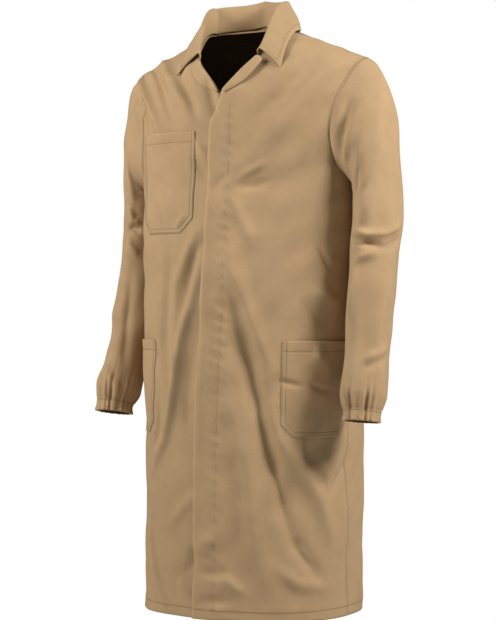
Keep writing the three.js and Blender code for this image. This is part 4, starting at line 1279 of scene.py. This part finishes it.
def front_paths(side):
    """Stitching on a front: the fly, the hem and along the armhole."""
    left = side > 0
    edge = LEFT_EDGE if left else RIGHT_EDGE
    paths = []
    if left:
        paths.append(front_line(1, LEFT_EDGE + FLY_WIDTH, np.linspace(18, BREAK - 25, 400)))
    s = np.linspace(0.01, 1, 200)
    hem_t = 17 / UNDERARM * ROW_UNDERARM
    u, v = front_place(s, np.full(s.shape, hem_t), edge)
    out = front_relief(u, v, left) + hem_roll(v) + 0.3
    out = out + (left_lift(body_point(u, v)[..., 0]) if left else 0)
    paths.append(cloth_point(u, v, out))
    t = np.linspace(ROW_UNDERARM + 0.01, 0.99, 160)
    u, v = front_place(np.full(t.shape, 0.975), t, edge)
    paths.append(cloth_point(u, v, np.full(t.shape, 0.3)))
    return paths


def pocket_paths(pocket):
    """Double stitching round a pocket's three sewn sides, and its hem."""
    width, depth, corner = pocket["width"], pocket["depth"], pocket["corner"]
    paths = []
    for inset in (2.0, 8.0):
        turn = inset * (math.sqrt(2) - 1) + corner
        outline = [(inset, depth - 0.5), (inset, turn), (turn, inset), (width - turn, inset),
                   (width - inset, turn), (width - inset, depth - 0.5)]
        made = []
        for (x0, z0), (x1, z1) in zip(outline[:-1], outline[1:]):
            count = max(3, int(math.hypot(x1 - x0, z1 - z0) / 2))
            share = np.linspace(0, 1, count, endpoint=False)
            made.append(np.stack([lerp(x0, x1, share), lerp(z0, z1, share)], axis=1))
        made.append(np.array([outline[-1]]))
        paths.append(np.concatenate(made))
    hem = np.linspace(3, width - 3, 70)
    paths.append(np.stack([hem, np.full(hem.shape, depth - 18.0)], axis=1))
    shown = []
    for path in paths:
        x, t = path[:, 0], path[:, 1] / depth
        cut = np.maximum(0, 1 - path[:, 1] / corner) * corner / width
        s = (x / width - cut) / (1 - 2 * cut)
        u, v = pocket_place(pocket, s, t)
        rise, _ = pocket_rise(pocket, s, t)
        shown.append(cloth_point(u, v, rise + 0.25))
    return shown


def torso_paths():
    """Stitching that stays with the torso: back hem, shoulders, armholes, collar and pockets."""
    paths = []
    s = np.linspace(-1, 1, 400)
    u, v = back_place(s, np.full(s.shape, 17 / UNDERARM * ROW_UNDERARM))
    paths.append(cloth_point(u, v, hem_roll(v) + 0.3))
    for side in (1, -1):
        t = np.linspace(ROW_UNDERARM + 0.01, 0.99, 160)
        u, v = back_place(np.full(t.shape, side * 0.975), t)
        paths.append(cloth_point(u, v, np.full(t.shape, 0.3)))
        reach = np.linspace(0.04, 0.97, 120)
        u, v = back_place(side * reach, np.full(reach.shape, 0.985))
        paths.append(cloth_point(u, v, np.full(reach.shape, 0.3)))
    for pocket in POCKETS.values():
        paths.extend(pocket_paths(pocket))
    ply = collar_ply(1.55, rows=180, cols=60)
    paths.append(ply[3:-3, -7])
    paths.append(ply[2, 40:-7])
    paths.append(ply[-3, 40:-7])
    return paths


class COAT_OT_stitching(bpy.types.Operator):
    """Sew every visible line of stitches"""
    bl_idname = "coat.stitching"
    bl_label = "Stitching"

    def execute(self, context):
        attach(sew("torso_stitches", torso_paths()), "torso")
        for side, name in ((1, "left"), (-1, "right")):
            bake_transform(sew(f"{name}_front_stitches", front_paths(side)))
            grid, normals, down = sleeve_surface(side)
            above = grid + normals * 0.25
            rows = [np.argmin(np.abs(down[-1] - down - 18.0))]
            rings = [np.concatenate([above[row], above[row][:1]]) for row in rows]
            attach(sew(f"{name}_cuff_stitches", rings), f"{name}_arm")
        return {"FINISHED"}


# ------------------------------------------------------------------ camera, lights and floor

def lamp(name, place, target, size, power, tint=(1, 1, 1)):
    data = bpy.data.lights.new(name, "AREA")
    data.shape, data.size, data.energy, data.color = "SQUARE", size, power, tint
    light = bpy.data.objects.new(name, data)
    bpy.context.scene.collection.objects.link(light)
    light.location = place
    aim(light, target)
    return light


def aim(thing, target):
    from mathutils import Vector
    direction = Vector(target) - Vector(thing.location)
    thing.rotation_euler = direction.to_track_quat("-Z", "Y").to_euler()


def around(azimuth, distance, height):
    """A place at an azimuth in degrees, 0 in front of the coat and turning to the wearer's left."""
    a = math.radians(azimuth)
    return (math.sin(a) * distance, -math.cos(a) * distance, height)


CAMERA_HEIGHT = -0.501
CAMERA_SHIFT = -0.0064516          # sideways shift of the view, as a share of its longer side
# turn, distance and height of each light, the height it is aimed at, its size
KEY_LIGHT = (88, 1.9, 0.7), -0.25, 0.6
FRONT_FILL = (-34, 1.7, 0.5), -0.12, 0.8
SIDE_FILL = (-75, 3.0, 0.6), -0.5, 2.0
SIDE_FILL_SHARE = 0.2              # of the front fill's power


class COAT_OT_stage(bpy.types.Operator):
    """Set the floor, the soft studio lights and the camera"""
    bl_idname = "coat.stage"
    bl_label = "Stage"

    def execute(self, context):
        settings = context.scene.coat_stage
        data = bpy.data.cameras.new("camera")
        camera = bpy.data.objects.new("camera", data)
        context.scene.collection.objects.link(camera)
        camera.location = around(settings.azimuth, settings.distance, CAMERA_HEIGHT)
        aim(camera, (0, 0, CAMERA_HEIGHT))
        data.sensor_width = 36
        data.lens = settings.lens
        data.shift_x = CAMERA_SHIFT
        context.scene.camera = camera
        lights = (
            ("key", KEY_LIGHT, settings.key),
            ("front fill", FRONT_FILL, settings.fill),
            ("side fill", SIDE_FILL, settings.fill * SIDE_FILL_SHARE),
        )
        for name, (place, aimed_at, size), power in lights:
            lamp(name, around(*place), (0, 0, aimed_at), size, power)
        context.scene.view_settings.view_transform = "Standard"
        world = bpy.data.worlds.new("studio")
        world.use_nodes = True
        sky = world.node_tree.nodes["Background"]
        sky.inputs["Color"].default_value = (1, 1, 1, 1)
        start = Shade(world.node_tree, None)
        seen = start.node("ShaderNodeLightPath")
        glow = seen * (1.0 - settings.sky) + settings.sky
        world.node_tree.links.new(glow.out, sky.inputs["Strength"])
        context.scene.world = world
        turn = np.linspace(0, 2 * np.pi, 96, endpoint=False)
        ring = np.stack([1.7 * np.cos(turn), 1.7 * np.sin(turn), np.full(96, -1.36)], axis=1)
        mesh = bpy.data.meshes.new("floor")
        mesh.from_pydata(ring.tolist(), [], [list(range(96))])
        floor = bpy.data.objects.new("floor", mesh)
        context.scene.collection.objects.link(floor)
        material, shader, _, place = new_material("pale floor")
        grain = place.noise(3.0)
        connect(shader, colour=grain.blend(colour((0.8, 0.8, 0.79)), colour((0.86, 0.86, 0.85))),
                roughness=0.7 + grain * 0.2)
        mesh.materials.append(material)
        return {"FINISHED"}


# ------------------------------------------------------------------ settings, panel, registering

def length(name, text, value, low=0.0, high=1.0):
    return bpy.props.FloatProperty(name=name, description=text, default=value, min=low, max=high,
                                   subtype="DISTANCE", unit="LENGTH", precision=5)


def tint(name, text, value):
    return bpy.props.FloatVectorProperty(name=name, description=text, default=value, size=3,
                                         min=0, max=1, subtype="COLOR")


def amount(name, text, value, low=0.0, high=100.0):
    return bpy.props.FloatProperty(name=name, description=text, default=value, min=low, max=high)


class CoatCloth(bpy.types.PropertyGroup):
    """How the cloth hangs, and its colours"""
    fold_depth: amount("Fold depth", "Depth of all the folds, as a share of the usual", 1.75, 0, 3)
    pucker: length("Pucker height", "Height of the puckers along the fly", 0.0023, 0, 0.01)
    pucker_pitch: amount("Pucker pitch", "Distance between puckers along the fly, in mm", 22.0, 5, 80)
    gather_depth: length("Gather depth", "Depth of the gathers at the cuffs", 0.0036, 0, 0.01)
    rib_pitch: length("Rib pitch", "Distance between the twill's ribs", 0.0011, 0.0002, 0.01)
    sheen: amount("Sheen", "Soft bloom of the cotton's surface fibres", 0.12, 0, 1)
    twill_colour: tint("Twill", "Colour of the cotton twill", (0.405, 0.266, 0.138))
    # Painted shade: the inside colour is far darker than the twill, standing in for the shade inside the
    # coat.
    inside_painted_shade_colour: tint("Inside, painted shade", "Colour of the cloth's inside, darkened as painted shade", (0.10, 0.06, 0.025))
    thread_colour: tint("Thread", "Colour of the sewing thread", (0.22, 0.145, 0.065))
    tape_colour: tint("Loop tape", "Colour of the hanger loop", (0.03, 0.02, 0.012))
    metal_colour: tint("Studs", "Colour of the press studs", (0.6, 0.58, 0.53))


class CoatStitches(bpy.types.PropertyGroup):
    """Sizes of the stitches"""
    pitch: length("Pitch", "Distance from one stitch to the next", 0.0034, 0.001, 0.02)
    length: length("Length", "Length of a stitch", 0.0026, 0.0005, 0.02)
    radius: length("Radius", "Half the thickness of the thread", 0.00033, 0.0001, 0.003)


class CoatStage(bpy.types.PropertyGroup):
    """The camera and the lights"""
    azimuth: amount("Azimuth", "Turn of the camera towards the wearer's left, in degrees", 31.0, -180, 180)
    distance: length("Distance", "Distance of the camera", 3.3, 1, 20)
    lens: amount("Lens", "Focal length of the camera, in mm", 106.45, 10, 500)
    key: amount("Key light", "Power of the key light, in watts", 56.0, 0, 5000)
    fill: amount("Fill light", "Power of the front fill light, in watts", 36.0, 0, 5000)
    sky: amount("Sky", "Brightness of the surroundings", 0.15, 0, 10)


class COAT_PT_panel(bpy.types.Panel):
    """Lists the coat's settings and the operators that make its pieces"""
    bl_idname = "COAT_PT_panel"
    bl_label = "Long work coat"
    bl_space_type = "VIEW_3D"
    bl_region_type = "UI"
    bl_category = "Coat"

    def draw(self, context):
        for group in (context.scene.coat_cloth, context.scene.coat_stitches, context.scene.coat_stage):
            box = self.layout.box()
            for name in group.__annotations__:
                box.prop(group, name)
        for operator in MAKERS:
            self.layout.operator(operator.bl_idname)


MAKERS = (
    COAT_OT_back, COAT_OT_fronts, COAT_OT_strips, COAT_OT_pockets, COAT_OT_collar, COAT_OT_lapels,
    COAT_OT_neck_facing, COAT_OT_hanger_loop, COAT_OT_sleeves, COAT_OT_studs, COAT_OT_stitching,
    COAT_OT_stage,
)
GROUPS = {"coat_cloth": CoatCloth, "coat_stitches": CoatStitches, "coat_stage": CoatStage}


def register():
    for group in GROUPS.values():
        bpy.utils.register_class(group)
    for name, group in GROUPS.items():
        setattr(bpy.types.Scene, name, bpy.props.PointerProperty(type=group))
    for made in (*MAKERS, COAT_PT_panel):
        bpy.utils.register_class(made)


def unregister():
    for made in reversed((*MAKERS, COAT_PT_panel)):
        bpy.utils.unregister_class(made)
    for name, group in GROUPS.items():
        delattr(bpy.types.Scene, name)
        bpy.utils.unregister_class(group)


def main():
    register()
    for operator in MAKERS:
        group, name = operator.bl_idname.split(".")
        if getattr(getattr(bpy.ops, group), name)() != {"FINISHED"}:
            raise RuntimeError(f"{operator.bl_label} was not made")


if __name__ == "__main__":
    main()
